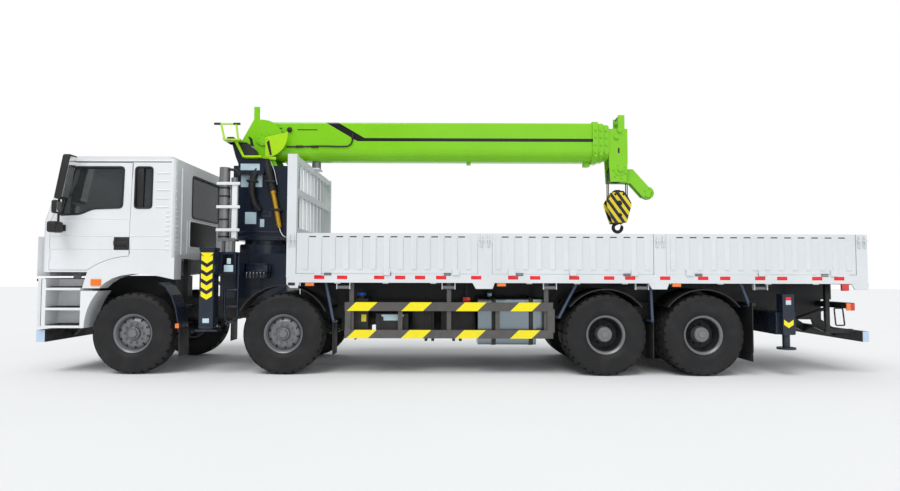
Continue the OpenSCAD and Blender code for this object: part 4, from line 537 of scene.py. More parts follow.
def pipe(bm, points, radius, bend=0.0, sides=4, loop=False):
    """A tube swept along a path."""
    path = eased(points, bend, loop=loop) if bend else [Vector(p) for p in points]
    sweep = bpy.data.curves.new("sweep", "CURVE")
    sweep.dimensions = "3D"
    sweep.bevel_depth = radius
    sweep.bevel_resolution = sides
    sweep.use_fill_caps = not loop
    line = sweep.splines.new("POLY")
    line.points.add(len(path) - 1)
    for point, at in zip(line.points, path):
        point.co = (*at, 1.0)
    line.use_cyclic_u = loop
    carrier = bpy.data.objects.new("sweep", sweep)
    swept = bpy.data.meshes.new_from_object(carrier)
    bm.from_mesh(swept)
    bpy.data.objects.remove(carrier)
    bpy.data.curves.remove(sweep)
    bpy.data.meshes.remove(swept)


def piece(bm, name, body, *finishes, crease=35.0, pick=None):
    """Turns a bmesh into a finished piece that rides on a body."""
    bmesh.ops.remove_doubles(bm, verts=bm.verts, dist=MERGE)
    bmesh.ops.recalc_face_normals(bm, faces=bm.faces)
    mesh = bpy.data.meshes.new(name)
    bm.to_mesh(mesh)
    bm.free()
    for finish in finishes:
        mesh.materials.append(finish)
    mesh.shade_smooth()
    mesh.set_sharp_from_angle(angle=math.radians(crease))
    if pick:
        for face in mesh.polygons:
            face.material_index = pick(face.center, face.normal)
    made = bpy.data.objects.new(name, mesh)
    bpy.context.collection.objects.link(made)
    if body:
        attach(made, body)
    return made


def blocks(name, body, finish, edge, *boxes):
    """A piece made of eased blocks alone, each given by two corners."""
    bm = bmesh.new()
    for low, high in boxes:
        slab(bm, low, high, edge)
    piece(bm, name, body, finish)


# Wheels: tyres with tread, front discs and rear dishes
HUB_Z = 0.5625
AXLES = {1: -4.415, 2: -2.330, 3: 2.135, 4: 3.485}
FRONT_Y = 1.023
TWIN_Y = (0.743, 1.093)
NUT_RING, NUT_RADIUS, NUT_HEIGHT = 0.134, 0.016, 0.030
TYRE_STEPS, DISC_STEPS = 90, 60


def tyre_mesh():
    """One tyre about the Y axis: sidewall rings, four grooves, and notches in the ribs and shoulders."""
    half = [(0.262, 0.110), (0.284, 0.133), (0.330, 0.151), (0.338, 0.1535), (0.346, 0.1525),
            (0.412, 0.1570), (0.452, 0.1555), (0.490, 0.1495), (0.496, 0.1515), (0.502, 0.1480),
            (0.528, 0.1400), (0.544, 0.1335), (0.5535, 0.1230), (0.5580, 0.0860), (0.5450, 0.0835),
            (0.5450, 0.0715), (0.5592, 0.0690), (0.5610, 0.0360), (0.5470, 0.0335), (0.5470, 0.0215),
            (0.5615, 0.0190)]
    outline = [(r, -w) for r, w in half] + [(0.5625, 0.0)] + [(r, w) for r, w in reversed(half)]
    bm = bmesh.new()
    turned(bm, outline, steps=TYRE_STEPS)
    bmesh.ops.remove_doubles(bm, verts=bm.verts, dist=MERGE)
    bmesh.ops.recalc_face_normals(bm, faces=bm.faces)
    notches = []
    for face in bm.faces:
        middle = face.calc_center_median()
        far = math.hypot(middle.x, middle.z)
        count = step_of(middle, TYRE_STEPS)
        shoulder = 0.088 < abs(middle.y) < 0.140 and far > 0.535
        inner = abs(middle.y) < 0.070 and far > 0.556
        if (shoulder and count % 3 == 0) or (inner and count % 5 == 0):
            notches.append(face)
    bmesh.ops.inset_individual(bm, faces=notches, thickness=0.003, depth=-0.010)
    mesh = bpy.data.meshes.new("tyre")
    bm.to_mesh(mesh)
    bm.free()
    return mesh


def nut(bm, at):
    """A wheel nut that faces +Y, on its washer and with the end of its stud."""
    at = Vector(at)
    bar(bm, at, at + Vector((0, NUT_HEIGHT * 0.25, 0)), NUT_RADIUS * 1.45, sides=16)
    bar(bm, at, at + Vector((0, NUT_HEIGHT, 0)), NUT_RADIUS, sides=6, edge=0.002)
    bar(bm, at, at + Vector((0, NUT_HEIGHT * 1.45, 0)), NUT_RADIUS * 0.55, sides=10)


def step_of(middle, steps):
    """Which of the steps round a turned part a point lies in."""
    return int((math.atan2(middle.z, middle.x) % TURN) / TURN * steps)


def hand_holes(spun):
    """Sinks ten hand holes into a front disc."""
    holes = []
    for face in spun.faces:
        middle = face.calc_center_median()
        far = math.hypot(middle.x, middle.z)
        if 0.178 < far < 0.214 and middle.y > 0.058 and step_of(middle, DISC_STEPS) % 6 in (1, 2):
            holes.append(face)
    bmesh.ops.inset_region(spun, faces=holes, thickness=0.006, depth=0.0, use_even_offset=True)
    # Each hole is a sunk pocket whose floor takes the dark painted shade in place of an open hole.
    for face in bmesh.ops.extrude_discrete_faces(spun, faces=holes)["faces"]:
        face.material_index = 1
        bmesh.ops.translate(spun, vec=(0, -0.022, 0), verts=face.verts)


def front_disc(bm, x, out):
    """A pressed steel wheel: flanged rim, dished disc with ten hand holes, nuts and a hub cap."""
    spun = bmesh.new()
    rim = [(0.262, -0.112), (0.276, -0.112), (0.276, -0.104), (0.248, -0.092), (0.240, -0.050),
           (0.240, 0.060), (0.249, 0.092), (0.270, 0.104), (0.279, 0.108), (0.279, 0.116), (0.268, 0.118),
           (0.243, 0.102), (0.236, 0.088), (0.232, 0.075)]
    disc = [(0.226, 0.060), (0.216, 0.054), (0.176, 0.080), (0.160, 0.084), (0.108, 0.084), (0.100, 0.076),
            (0.085, 0.074)]
    back = [(0.085, 0.058), (0.160, 0.066), (0.214, 0.036), (0.226, 0.040), (0.226, -0.060), (0.236, -0.100)]
    turned(spun, rim + disc + back, steps=DISC_STEPS)
    bmesh.ops.recalc_face_normals(spun, faces=spun.faces)
    hand_holes(spun)
    for x_off, z_off in round_points(10, NUT_RING):
        nut(spun, (x_off, 0.083, z_off))
    turned(spun, [(0.0, 0.080), (0.082, 0.078), (0.080, 0.100), (0.062, 0.106), (0.058, 0.128),
                  (0.050, 0.136), (0.0, 0.138)], steps=32, closed=False)
    for x_off, z_off in round_points(8, 0.071, 0.5):
        bar(spun, (x_off, 0.100, z_off), (x_off, 0.112, z_off), 0.006, sides=6)
    settle_wheel(bm, spun, x, FRONT_Y * out, out)


def rear_dish(bm, x, out):
    """A pair of reversed discs: pale rim flange, deep dish that the wheels' pick paints dark as painted
    shade, and the hub of the driving axle.
    """
    spun = bmesh.new()
    for mid, flip in ((TWIN_Y[1], 1.0), (TWIN_Y[0], -1.0)):
        rim = [(0.262, -0.112), (0.276, -0.112), (0.248, -0.092), (0.240, -0.050), (0.240, 0.060),
               (0.249, 0.092), (0.270, 0.102), (0.279, 0.106), (0.279, 0.114), (0.268, 0.117),
               (0.246, 0.106), (0.238, 0.098), (0.232, 0.080), (0.222, 0.050), (0.216, -0.020),
               (0.196, -0.070), (0.160, -0.092), (0.090, -0.094), (0.090, -0.108), (0.168, -0.108),
               (0.210, -0.082), (0.230, -0.020), (0.236, -0.090)]
        turned(spun, [(r, mid - TWIN_Y[1] + flip * w) for r, w in rim], steps=DISC_STEPS)
    for x_off, z_off in round_points(10, NUT_RING):
        nut(spun, (x_off, -0.094, z_off))
    hub = [(0.0, -0.094), (0.118, -0.094), (0.116, -0.030), (0.106, -0.018), (0.104, 0.052), (0.094, 0.062),
           (0.052, 0.064), (0.046, 0.074), (0.0, 0.076)]
    turned(spun, hub, steps=40, closed=False)
    for x_off, z_off in round_points(12, 0.080, 0.5):
        bar(spun, (x_off, 0.060, z_off), (x_off, 0.072, z_off), 0.007, sides=6)
    settle_wheel(bm, spun, x, TWIN_Y[1] * out, out)


def settle_wheel(bm, spun, x, y, out):
    """Adds a part spun about the origin at a wheel's place, facing outwards."""
    turn = Matrix.Identity(4) if out > 0 else Matrix.Rotation(math.pi, 4, "Z")
    bmesh.ops.transform(spun, matrix=Matrix.Translation((x, y, HUB_Z)) @ turn, verts=spun.verts)
    mesh = bpy.data.meshes.new("wheel")
    spun.to_mesh(mesh)
    spun.free()
    bm.from_mesh(mesh)
    bpy.data.meshes.remove(mesh)


def rim_painted_shade_faces(row, x, out):
    """Picks the faces of a rim painted dark as painted shade: the ring of hand holes in front, the deep dish
    at the rear.
    """
    def shade(at, facing):
        far = math.hypot(at.x - x, at.z - HUB_Z)
        if row > 2:
            return int(0.119 < far < 0.233)
        sunk = abs(at.y) < FRONT_Y + 0.060 and facing.y * out > 0.7
        return int(0.170 < far < 0.222 and sunk)
    return shade


def wheels():
    tyre = tyre_mesh()
    for row, x in AXLES.items():
        for side, out in SIDES:
            body = f"wheel_{row}_{side}"
            bm = bmesh.new()
            for y in ((FRONT_Y,) if row < 3 else TWIN_Y):
                fresh = bmesh.new()
                fresh.from_mesh(tyre)
                settle_wheel(bm, fresh, x, y * out, out)
            tread = piece(bm, f"tyre_{row}_{side}", body, tyre_black, crease=28.0)
            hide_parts(body)
            bm = bmesh.new()
            (front_disc if row < 3 else rear_dish)(bm, x, out)
            piece(bm, f"rim_{row}_{side}", body, wheel_grey, rim_painted_shade_dark, pick=rim_painted_shade_faces(row, x, out))
    bpy.data.meshes.remove(tyre)


wheels()


# Cab: seals, pressings, handles, wipers, mirrors and steps
CAB_SIDE, BELT_Z, EAVE_Z = 1.220, 2.120, 2.990
TUMBLE = 0.020
SCREEN_X, SCREEN_RAKE = -5.700, 0.300
CAB_REAR = -3.847
WINDOW = ((-5.442, 2.200), (-5.282, 2.874), (-4.565, 2.874), (-4.573, 2.306), (-4.974, 2.291),
          (-5.152, 2.214))
QUARTER = ((-4.401, 2.300), (-4.166, 2.300), (-4.166, 2.876), (-4.401, 2.876))
SCREEN = ((-1.075, 2.150), (1.075, 2.150), (1.000, 2.890), (-1.000, 2.890))
REAR_LIGHT = ((-0.620, 2.220), (0.620, 2.220), (0.620, 2.845), (-0.620, 2.845))
REAR_HATCH = ((-0.70, 1.78), (0.36, 1.78), (0.36, 2.17), (-0.70, 2.17))
LOUVRES = (2.792, 2.679, 2.553, 2.435, 2.316)


def lean(z):
    """How far up the sloping part of the cab a height is, from 0 at the belt to 1 at the eave."""
    return max(0.0, (z - BELT_Z) / (EAVE_Z - BELT_Z))


def on_side(out, x, z, proud=0.0):
    """A point on the cab's side wall."""
    return Vector((x, out * (CAB_SIDE - TUMBLE * lean(z) + proud), z))


def on_screen(y, z, proud=0.0):
    """A point on the cab's front."""
    return Vector((SCREEN_X + SCREEN_RAKE * lean(z) - proud, y, z))


def ridge(bm, start, end, radius):
    pipe(bm, [start, end], radius)


def cab_seals():
    bm = bmesh.new()
    pipe(bm, [on_screen(y, z) for y, z in SCREEN], 0.015, 0.07, loop=True)
    pipe(bm, [(CAB_REAR, y, z) for y, z in REAR_LIGHT], 0.013, 0.07, loop=True)
    for out in OUTS:
        pipe(bm, [on_side(out, x, z) for x, z in QUARTER], 0.012, 0.045, loop=True)
        slab(bm, on_side(out, -4.395, 2.306, -0.014), on_side(out, -4.290, 2.870, -0.004), 0.003)
    piece(bm, "cab_window_seals", "cab", hose_rubber)


def cab_pressings():
    bm = bmesh.new()
    for out in OUTS:
        ridge(bm, on_side(out, -5.300, 2.962), on_side(out, -3.905, 2.962), 0.009)
        for z in LOUVRES:
            pipe(bm, [on_side(out, -4.105, z), on_side(out, -3.915, z), (CAB_REAR, out * 1.150, z)],
                 0.011, 0.06)
        for z in (1.910, 1.730):
            ridge(bm, on_side(out, -4.440, z), on_side(out, -3.915, z), 0.006)
        for step in range(9):
            z = 2.255 - 0.066 * step
            pipe(bm, [on_side(out, -3.960, z), on_side(out, -3.915, z), (CAB_REAR, out * 1.150, z),
                      (CAB_REAR, out * 1.090, z)], 0.012, 0.05)
        ridge(bm, (CAB_REAR, out * 0.98, 1.66), (CAB_REAR, out * 0.98, 2.90), 0.014)
    for y in (-0.78, 0.78):
        ridge(bm, (CAB_REAR, y, 1.68), (CAB_REAR, y, 2.16), 0.010)
    pipe(bm, [(CAB_REAR, y, z) for y, z in REAR_HATCH], 0.012, 0.05, loop=True)
    piece(bm, "cab_pressings", "cab", cab_white)
    bm = bmesh.new()
    slab(bm, (CAB_REAR - 0.004, -0.690, 1.79), (CAB_REAR + 0.006, 0.350, 2.16), 0.004)
    for out in OUTS:
        # A dark line just under the eave ridge: painted shadow of the ridge.
        ridge(bm, on_side(out, -5.290, 2.947, -0.002), on_side(out, -3.910, 2.947, -0.002), 0.005)
        ridge(bm, on_side(out, -4.452, 1.660, -0.003), on_side(out, -4.440, 2.930, -0.003), 0.005)
    piece(bm, "cab_seams_and_painted_eave_shadow", "cab", hose_rubber)


def cab_front():
    bm = bmesh.new()
    for y, sweep in ((-0.62, 0.62), (0.10, 0.62)):
        foot = on_screen(y, 2.135, 0.020)
        tip = on_screen(y + sweep, 2.330, 0.020)
        bar(bm, foot + Vector((0.03, 0, -0.01)), foot - Vector((0.02, 0, 0)), 0.022, sides=16, edge=0.004)
        pipe(bm, [foot, foot.lerp(tip, 0.55) + Vector((-0.012, 0, 0.02)), tip], 0.007, 0.10)
        pipe(bm, [on_screen(y + sweep - 0.34, 2.222, 0.010), on_screen(y + sweep + 0.30, 2.430, 0.010)],
             0.008)
    piece(bm, "windscreen_wipers", "cab", black_plastic)
    bm = bmesh.new()
    for z, half in ((1.475, 0.86), (1.575, 0.90), (1.675, 0.92)):
        across = [half * (k - 8) / 8.0 for k in range(17)]
        pipe(bm, [(-5.850 + 0.068 * (y / 1.12) ** 2 - 0.001, y, z) for y in across], 0.017)
    bar(bm, (-5.822, -1.000, 1.850), (-5.700, -1.000, 1.850), 0.030, sides=20, edge=0.006)
    piece(bm, "front_grille_slots", "cab", black_plastic)


def door_trim(side, out):
    body = f"door_{side}"
    bm = bmesh.new()
    pipe(bm, [on_side(out, x, z) for x, z in WINDOW], 0.014, 0.05, loop=True)
    slab(bm, on_side(out, -4.672, 1.716, -0.006), on_side(out, -4.460, 1.896, 0.004), 0.003)
    for x in (-4.652, -4.480):
        slab(bm, on_side(out, x - 0.012, 1.775, 0.0), on_side(out, x + 0.012, 1.850, 0.030), 0.005)
    slab(bm, on_side(out, -4.664, 1.785, 0.020), on_side(out, -4.468, 1.840, 0.036), 0.007)
    bar(bm, on_side(out, -4.520, 1.745, 0.0), on_side(out, -4.520, 1.745, 0.008), 0.014, sides=16)
    piece(bm, f"door_seal_and_handle_{side}", body, black_plastic)
    bm = bmesh.new()
    for x0, x1, z in ((-5.540, -4.690, 1.910), (-5.540, -4.690, 1.730), (-5.500, -4.500, 2.150)):
        ridge(bm, on_side(out, x0, z), on_side(out, x1, z), 0.006)
    piece(bm, f"door_creases_{side}", body, cab_white)


def door_mirror(side, out):
    """Three mirror heads on a bent arm, two of them with glasses."""
    body = f"door_{side}"
    slant = Matrix(((1, 0, 0.182, 0), (0, 1, 0, 0), (0, 0, 1, 0), (0, 0, 0, 1)))
    bm = bmesh.new()
    slab(bm, (-5.310, out * 1.300, 2.400), (-5.205, out * 1.490, 3.005), 0.024, slant, 3)
    slab(bm, (-5.448, out * 1.300, 1.945), (-5.318, out * 1.490, 2.095), 0.030, None, 4)
    slab(bm, (-5.412, out * 1.335, 2.205), (-5.335, out * 1.460, 2.385), 0.026, None, 4)
    reach = out * 1.330
    arm = -5.380
    for z in (2.505, 2.020):
        wall = CAB_SIDE - TUMBLE * lean(z)
        pipe(bm, [(arm, out * (wall + 0.012), z), (arm, reach, z)], 0.015)
        slab(bm, (arm - 0.040, out * (wall + 0.001), z - 0.045),
             (arm + 0.040, out * (wall + 0.014), z + 0.045), 0.005)
    pipe(bm, [(arm, reach, 1.945), (arm, reach, 2.480), (-5.350, reach, 2.610), (-5.290, reach, 2.700)],
         0.015, 0.10)
    shell = piece(bm, f"mirror_head_{side}", body, black_plastic)
    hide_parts(f"mirror_{side}")
    bm = bmesh.new()
    slab(bm, (-5.2085, out * 1.318, 2.425), (-5.2035, out * 1.472, 2.980), 0.002, slant)
    slab(bm, (-5.3365, out * 1.350, 2.225), (-5.3335, out * 1.445, 2.365), 0.001)
    piece(bm, f"mirror_glass_{side}", body, mirror_silver)


def front_steps():
    bm = bmesh.new()
    for out in OUTS:
        for z in (0.674, 0.918, 1.193):
            slab(bm, (-5.575, out * 0.945, z), (-5.125, out * 1.205, z + 0.012), 0.004)
            for k in range(9):
                x = -5.545 + 0.049 * k
                slab(bm, (x, out * 0.965, z + 0.010), (x + 0.022, out * 1.185, z + 0.018), 0.003)
        slab(bm, (-5.651, out * 1.185, 0.665), (-5.644, out * 1.2215, 1.315), 0.001)
    for y0, y1 in ((-1.150, -0.440), (-0.340, 0.340), (0.440, 1.150)):
        across = [y0 + (y1 - y0) * k / 8.0 for k in range(9)]
        pipe(bm, [(-5.830 + 0.087 * (y / 1.15) ** 2, y, 1.298) for y in across], 0.020)
    piece(bm, "step_treads_and_strip", "chassis", mat_rubber)
    bm = bmesh.new()
    for out in OUTS:
        for y in (0.800, 0.965):
            turned(bm, [(0.0, 0.030), (0.040, 0.026), (0.066, 0.0), (0.074, 0.0), (0.074, 0.040),
                        (0.0, 0.040)], (-5.752, out * y, 1.010), "X", 28)
    piece(bm, "headlamp_reflectors", "chassis", mirror_silver)


cab_seals()
cab_pressings()
cab_front()
for side, out in SIDES:
    door_trim(side, out)
    door_mirror(side, out)
front_steps()


# Crane: labels, hoses, pins, levers, ladder and stack
def plate(bm, outline, start, depth, edge):
    """A flat plate: an outline in X and Z, pushed out along Y."""
    face = bm.faces.new([bm.verts.new((x, start, z)) for x, z in outline])
    pushed = bmesh.ops.extrude_face_region(bm, geom=[face])["geom"]
    bmesh.ops.translate(bm, vec=(0, depth, 0), verts=only(bmesh.types.BMVert, pushed))
    near = {line for corner in face.verts for line in corner.link_edges}
    far = {line for side in only(bmesh.types.BMFace, pushed) for line in side.edges}
    bmesh.ops.bevel(bm, geom=list(near | far), offset=edge, affect="EDGES", segments=1, profile=0.5,
                    material=-1)


def bolt(bm, at, facing, radius=0.014, height=0.012):
    at, facing = Vector(at), Vector(facing)
    bar(bm, at - facing * 0.002, at + facing * height * 0.3, radius * 1.5, sides=14)
    bar(bm, at, at + facing * height, radius, sides=6, edge=0.0015)


def bolt_ring(bm, centre, facing, radius, count, size):
    centre, facing = Vector(centre), Vector(facing)
    across = facing.orthogonal().normalized()
    for step in range(count):
        spoke = Matrix.Rotation(TURN * step / count, 3, facing) @ across
        bolt(bm, centre + spoke * radius, facing, size)


BOOM_PIN = (-2.910, 3.480)
COLUMN_SIDE = 0.350
COLUMN_LABELS = ((-3.219, 2.721, -2.894, 2.935), (-3.147, 2.153, -2.976, 2.336),
                 (-2.918, 2.107, -2.853, 2.229))
BOOM_HOSE_Y, CHEEK_Y, LADDER_Y, HANDLE_Y = -0.222, -0.313, -1.000, -0.800
HOOK_X, SHEAVE_Z = 2.641, 3.010


def column_plates():
    labels = [((x0, -COLUMN_SIDE - 0.004, z0), (x1, -COLUMN_SIDE + 0.002, z1))
              for x0, z0, x1, z1 in COLUMN_LABELS]
    blocks("column_label_plates", "column", label_blank, 0.002, *labels)
    bm = bmesh.new()
    for out in OUTS:
        slab(bm, (-3.345, out * COLUMN_SIDE, 1.905), (-2.445, out * (COLUMN_SIDE + 0.030), 1.960), 0.010)
        slab(bm, (-3.345, out * COLUMN_SIDE, 2.020), (-2.600, out * (COLUMN_SIDE + 0.014), 2.045), 0.006)
        for x in (-3.300, -2.960, -2.620):
            bolt(bm, (x, out * (COLUMN_SIDE + 0.030), 1.932), (0, out, 0))
        slab(bm, (-2.946, out * COLUMN_SIDE, 2.255), (-2.740, out * (COLUMN_SIDE + 0.008), 2.352), 0.004)
    bolt_ring(bm, (-2.894, 0, 1.905), (0, 0, 1), 0.325, 24, 0.013)
    piece(bm, "column_ledges_and_bolts", "column", navy_paint)


def column_hoses():
    """Clamped hose runs on the left of the column: a thick bundle, a sleeve and its hard end."""
    bm = bmesh.new()
    pipe(bm, [(-2.855, -0.405, 3.120), (-2.960, -0.425, 2.985), (-3.025, -0.435, 2.800),
              (-3.030, -0.430, 2.600), (-2.985, -0.410, 2.440), (-2.925, -0.352, 2.370)], 0.052, 0.14, 6)
    pipe(bm, [(-2.830, -0.395, 3.130), (-2.785, -0.420, 2.960), (-2.745, -0.425, 2.800),
              (-2.712, -0.425, 2.650)], 0.056, 0.10, 6)
    piece(bm, "column_hose_bundle", "column", hose_rubber)
    bm = bmesh.new()
    pipe(bm, [(-2.716, -0.425, 2.668), (-2.655, -0.420, 2.380), (-2.612, -0.410, 2.130)], 0.041, 0.0, 6)
    for at, radius in (((-2.714, -0.425, 2.660), 0.050), ((-2.614, -0.410, 2.140), 0.034)):
        bar(bm, at, (at[0] + 0.012, at[1], at[2] - 0.050), radius, sides=24, edge=0.006)
    piece(bm, "column_gold_sleeve", "column", gold_sleeve)
    bm = bmesh.new()
    pipe(bm, [(-2.612, -0.410, 2.130), (-2.590, -0.405, 2.030), (-2.540, -0.390, 1.955),
              (-2.470, -0.352, 1.945)], 0.013, 0.10, 5)
    pipe(bm, [(-2.760, -0.395, 3.110), (-2.700, -0.385, 2.960), (-2.672, -0.375, 2.800),
              (-2.668, -0.352, 2.760)], 0.011, 0.05, 5)
    piece(bm, "column_hard_lines", "column", rod_chrome)
    bm = bmesh.new()
    for at in ((-3.022, -0.350, 2.800), (-2.745, -0.350, 2.790), (-2.650, -0.350, 2.360)):
        slab(bm, (at[0] - 0.075, at[1] - 0.140, at[2] - 0.018), (at[0] + 0.075, at[1], at[2] + 0.018), 0.008)
    piece(bm, "column_hose_clamps", "column", frame_black)


def boom_root():
    bm = bmesh.new()
    for out in OUTS:
        bar(bm, (-2.521, out * 0.205, 3.640), (-2.521, out * 0.238, 3.640), 0.040, sides=28, edge=0.008)
    hose = ((-2.560, 3.372), (-2.300, 3.376), (-2.000, 3.386), (-1.720, 3.378), (-1.600, 3.384),
            (-1.545, 3.440), (-1.535, 3.540))
    pipe(bm, at_y(BOOM_HOSE_Y, *hose), 0.011, 0.07, 4)
    for x in (-2.420, -2.180):
        bar(bm, *at_y(BOOM_HOSE_Y, (x, 3.375), (x + 0.110, 3.377)), 0.019, sides=16, edge=0.004)
    bar(bm, *at_y(BOOM_HOSE_Y, (-1.535, 3.500), (-1.535, 3.580)), 0.020, sides=16, edge=0.004)
    for x0, x1, z in ((-2.400, -2.090, 3.640), (-2.780, -2.560, 3.590), (-2.800, -2.640, 3.660)):
        slab(bm, (x0, -0.218, z), (x1, -0.208, z + 0.010), 0.002)
    piece(bm, "boom_root_hose_and_slots", "boom_base", hose_rubber)


def boom_pin_and_cheek():
    """Caps on the boom's pin and the fan plate on the left cheek."""
    bm = bmesh.new()
    for out in OUTS:
        face = 0.285 if out > 0 else CHEEK_Y
        turned(bm, [(0.0, 0.0), (0.105, 0.0), (0.105, 0.018), (0.090, 0.026), (0.0, 0.028)],
               (BOOM_PIN[0], face, BOOM_PIN[1]), "Y", 36)
        bolt_ring(bm, (BOOM_PIN[0], out * 0.311, BOOM_PIN[1]), (0, out, 0), 0.070, 6, 0.012)
    piece(bm, "boom_pin_caps", "column", lime_paint)
    bm = bmesh.new()
    fan = [(-2.868, 3.183), (-2.868, 3.500), (-2.522, 3.585)]
    for k in range(9):
        angle = -math.pi / 2 * k / 8
        fan.append((-2.868 + 0.346 * math.cos(angle), 3.540 + 0.357 * math.sin(angle)))
    plate(bm, fan, CHEEK_Y, -0.010, 0.003)
    slab(bm, (-3.130, -0.318, 3.150), (-2.700, -0.296, 3.196), 0.006)
    piece(bm, "cheek_fan_plate", "column", lime_bright)
    bm = bmesh.new()
    plate(bm, [(-2.846, 3.420), (-2.806, 3.455), (-2.762, 3.225), (-2.792, 3.215)], -0.3225, -0.004, 0.001)
    piece(bm, "cheek_fan_slot", "column", hose_rubber)


COLLARS = ((2.206, 2.290, "boom_base", 0.0), (2.296, 2.380, "boom_mid_1", 0.025),
           (2.386, 2.470, "boom_mid_2", 0.050))


def sheave(bm, centre, bore, radius, groove, half, lip, steps):
    """A grooved rope wheel about an axis along Y."""
    rim = radius - 0.002
    turned(bm, [(bore, -half), (rim, -half), (radius, -lip), (radius - groove, 0.0), (radius, lip),
                (rim, half), (bore, half)], centre, "Y", steps)


def boom_collars():
    for x0, x1, body, inset in COLLARS:
        bm = bmesh.new()
        wall = 0.232 - inset
        for out in OUTS:
            for z in (3.300, 3.420, 3.540, 3.650):
                bolt(bm, ((x0 + x1) / 2.0, out * wall, z), (0, out, 0), 0.013, 0.014)
            slab(bm, (x0 + 0.016, out * wall, 3.230 + inset),
                 (x1 - 0.016, out * (wall + 0.012), 3.270 + inset), 0.004)
        for y in (-0.110, 0.110):
            slab(bm, (x0 + 0.010, y - 0.045, 3.784 - inset), (x1 - 0.010, y + 0.045, 3.796 - inset), 0.004)
            bolt(bm, ((x0 + x1) / 2.0, y, 3.795 - inset), (0, 0, 1), 0.011, 0.010)
        piece(bm, f"collar_screws_{body}", body, lime_paint)


def boom_head():
    bm = bmesh.new()
    for out in OUTS:
        bolt_ring(bm, (HOOK_X, out * 0.157, SHEAVE_Z), (0, out, 0), 0.105, 6, 0.012)
        bolt_ring(bm, (3.113, out * 0.082, 2.690), (0, out, 0), 0.062, 5, 0.010)
        for x, z, radius in ((2.645, 3.665, 0.040), (2.590, 3.556, 0.036), (2.655, 3.055, 0.052)):
            bar(bm, (x, out * 0.150, z), (x, out * 0.182, z), radius, sides=28, edge=0.006)
        bar(bm, (2.640, out * 0.150, 3.030), (2.640, out * 0.164, 3.030), 0.090, sides=40, edge=0.004)
        slab(bm, (2.744, out * 0.120, 3.290), (2.758, out * 0.150, 3.470), 0.003)
    piece(bm, "boom_head_bolts", "boom_tip", lime_paint)
    bm = bmesh.new()
    slab(bm, (2.100, -0.060, 3.105), (2.196, 0.060, 3.172), 0.008)
    slab(bm, (0.245, -0.040, 3.130), (0.311, 0.040, 3.172), 0.006)
    piece(bm, "boom_underside_brackets", "boom_base", lime_paint)
    bm = bmesh.new()
    for y in (-0.070, 0.0, 0.070):
        sheave(bm, (HOOK_X, y, SHEAVE_Z), 0.050, 0.146, 0.012, 0.020, 0.014, 40)
    for x, z, radius in ((3.113, 2.690, 0.101), (2.676, 3.860, 0.052)):
        sheave(bm, (x, 0.0, z), 0.030, radius, 0.010, 0.018, 0.013, 36)
    for out in OUTS:
        slab(bm, (2.618, out * 0.1565, 3.305), (2.644, out * 0.1590, 3.385), 0.0008)
    piece(bm, "head_sheaves", "boom_tip", frame_black)


def base_fittings():
    """Control valves with their levers on the crane's base."""
    bm = bmesh.new()
    slab(bm, (-3.030, -0.640, 1.410), (-2.710, -0.430, 1.530), 0.012)
    slab(bm, (-3.020, -0.655, 1.528), (-2.720, -0.430, 1.542), 0.004)
    for k in range(6):
        slab(bm, (-3.015 + 0.050 * k, -0.620, 1.330), (-2.977 + 0.050 * k, -0.450, 1.412), 0.005)
    bolt_ring(bm, (-2.894, 0, 1.838), (0, 0, 1), 0.392, 28, 0.012)
    piece(bm, "control_valves", "chassis", navy_paint)
    bm = bmesh.new()
    for k in range(6):
        x = -2.996 + 0.050 * k
        pipe(bm, [(x, -0.600, 1.350), (x, -0.690, 1.330), (x + 0.012, -0.730, 1.400)], 0.006, 0.02)
        bar(bm, (x + 0.010, -0.724, 1.390), (x + 0.016, -0.738, 1.420), 0.012, sides=14, edge=0.004)
    piece(bm, "control_levers", "chassis", rod_chrome)


def base_ladder():
    """The ladder on the left of the crane's base, and two blank labels beside it."""
    bm = bmesh.new()
    front, back, hook_y = -3.205, -3.018, -0.960
    pipe(bm, at_y(LADDER_Y, (back, 1.640), (back, 0.780), (-3.050, 0.712), (-3.170, 0.712), (front, 0.780),
                  (front, 1.160)), 0.017, 0.05)
    for z in (1.165, 0.930):
        pipe(bm, at_y(LADDER_Y, (front, z), (back, z)), 0.015)
    pipe(bm, [(back, LADDER_Y, 1.640), (back, hook_y, 1.690), (-3.050, hook_y, 1.640)], 0.014, 0.03)
    for z in (1.480, 1.560):
        pipe(bm, [(back, LADDER_Y, z), (-3.060, hook_y, z)], 0.012)
    piece(bm, "base_ladder", "chassis", navy_paint)
    blocks("base_label_plates", "chassis", label_blank, 0.002,
           ((-3.205, -1.049, 1.420), (-3.075, -1.043, 1.515)),
           ((-3.165, -1.049, 1.530), (-3.110, -1.043, 1.610)))


def stack_fittings():
    bm = bmesh.new()
    for z in (2.700, 2.360, 2.025):
        slab(bm, (-3.400, -0.870, z - 0.022), (-3.060, -0.845, z + 0.022), 0.006)
    slab(bm, (-3.185, -0.850, 1.890), (-3.105, -0.790, 2.720), 0.012)
    piece(bm, "stack_bars_and_post", "chassis", cab_white)
    bm = bmesh.new()
    pipe(bm, at_y(HANDLE_Y, (-3.365, 2.700), (-3.365, 2.860), (-3.300, 2.920), (-3.130, 2.905),
                  (-3.085, 2.830)), 0.020, 0.09)
    for z in (1.930, 2.180, 2.520, 2.640):
        turned(bm, [(0.074, -0.012), (0.082, -0.010), (0.082, 0.010), (0.074, 0.012)], (-3.314, -0.775, z),
               "Z", 36)
    piece(bm, "stack_bands_and_handle", "chassis", hose_rubber)


column_plates()
column_hoses()
boom_root()
boom_pin_and_cheek()
boom_collars()
boom_head()
base_fittings()
base_ladder()
stack_fittings()


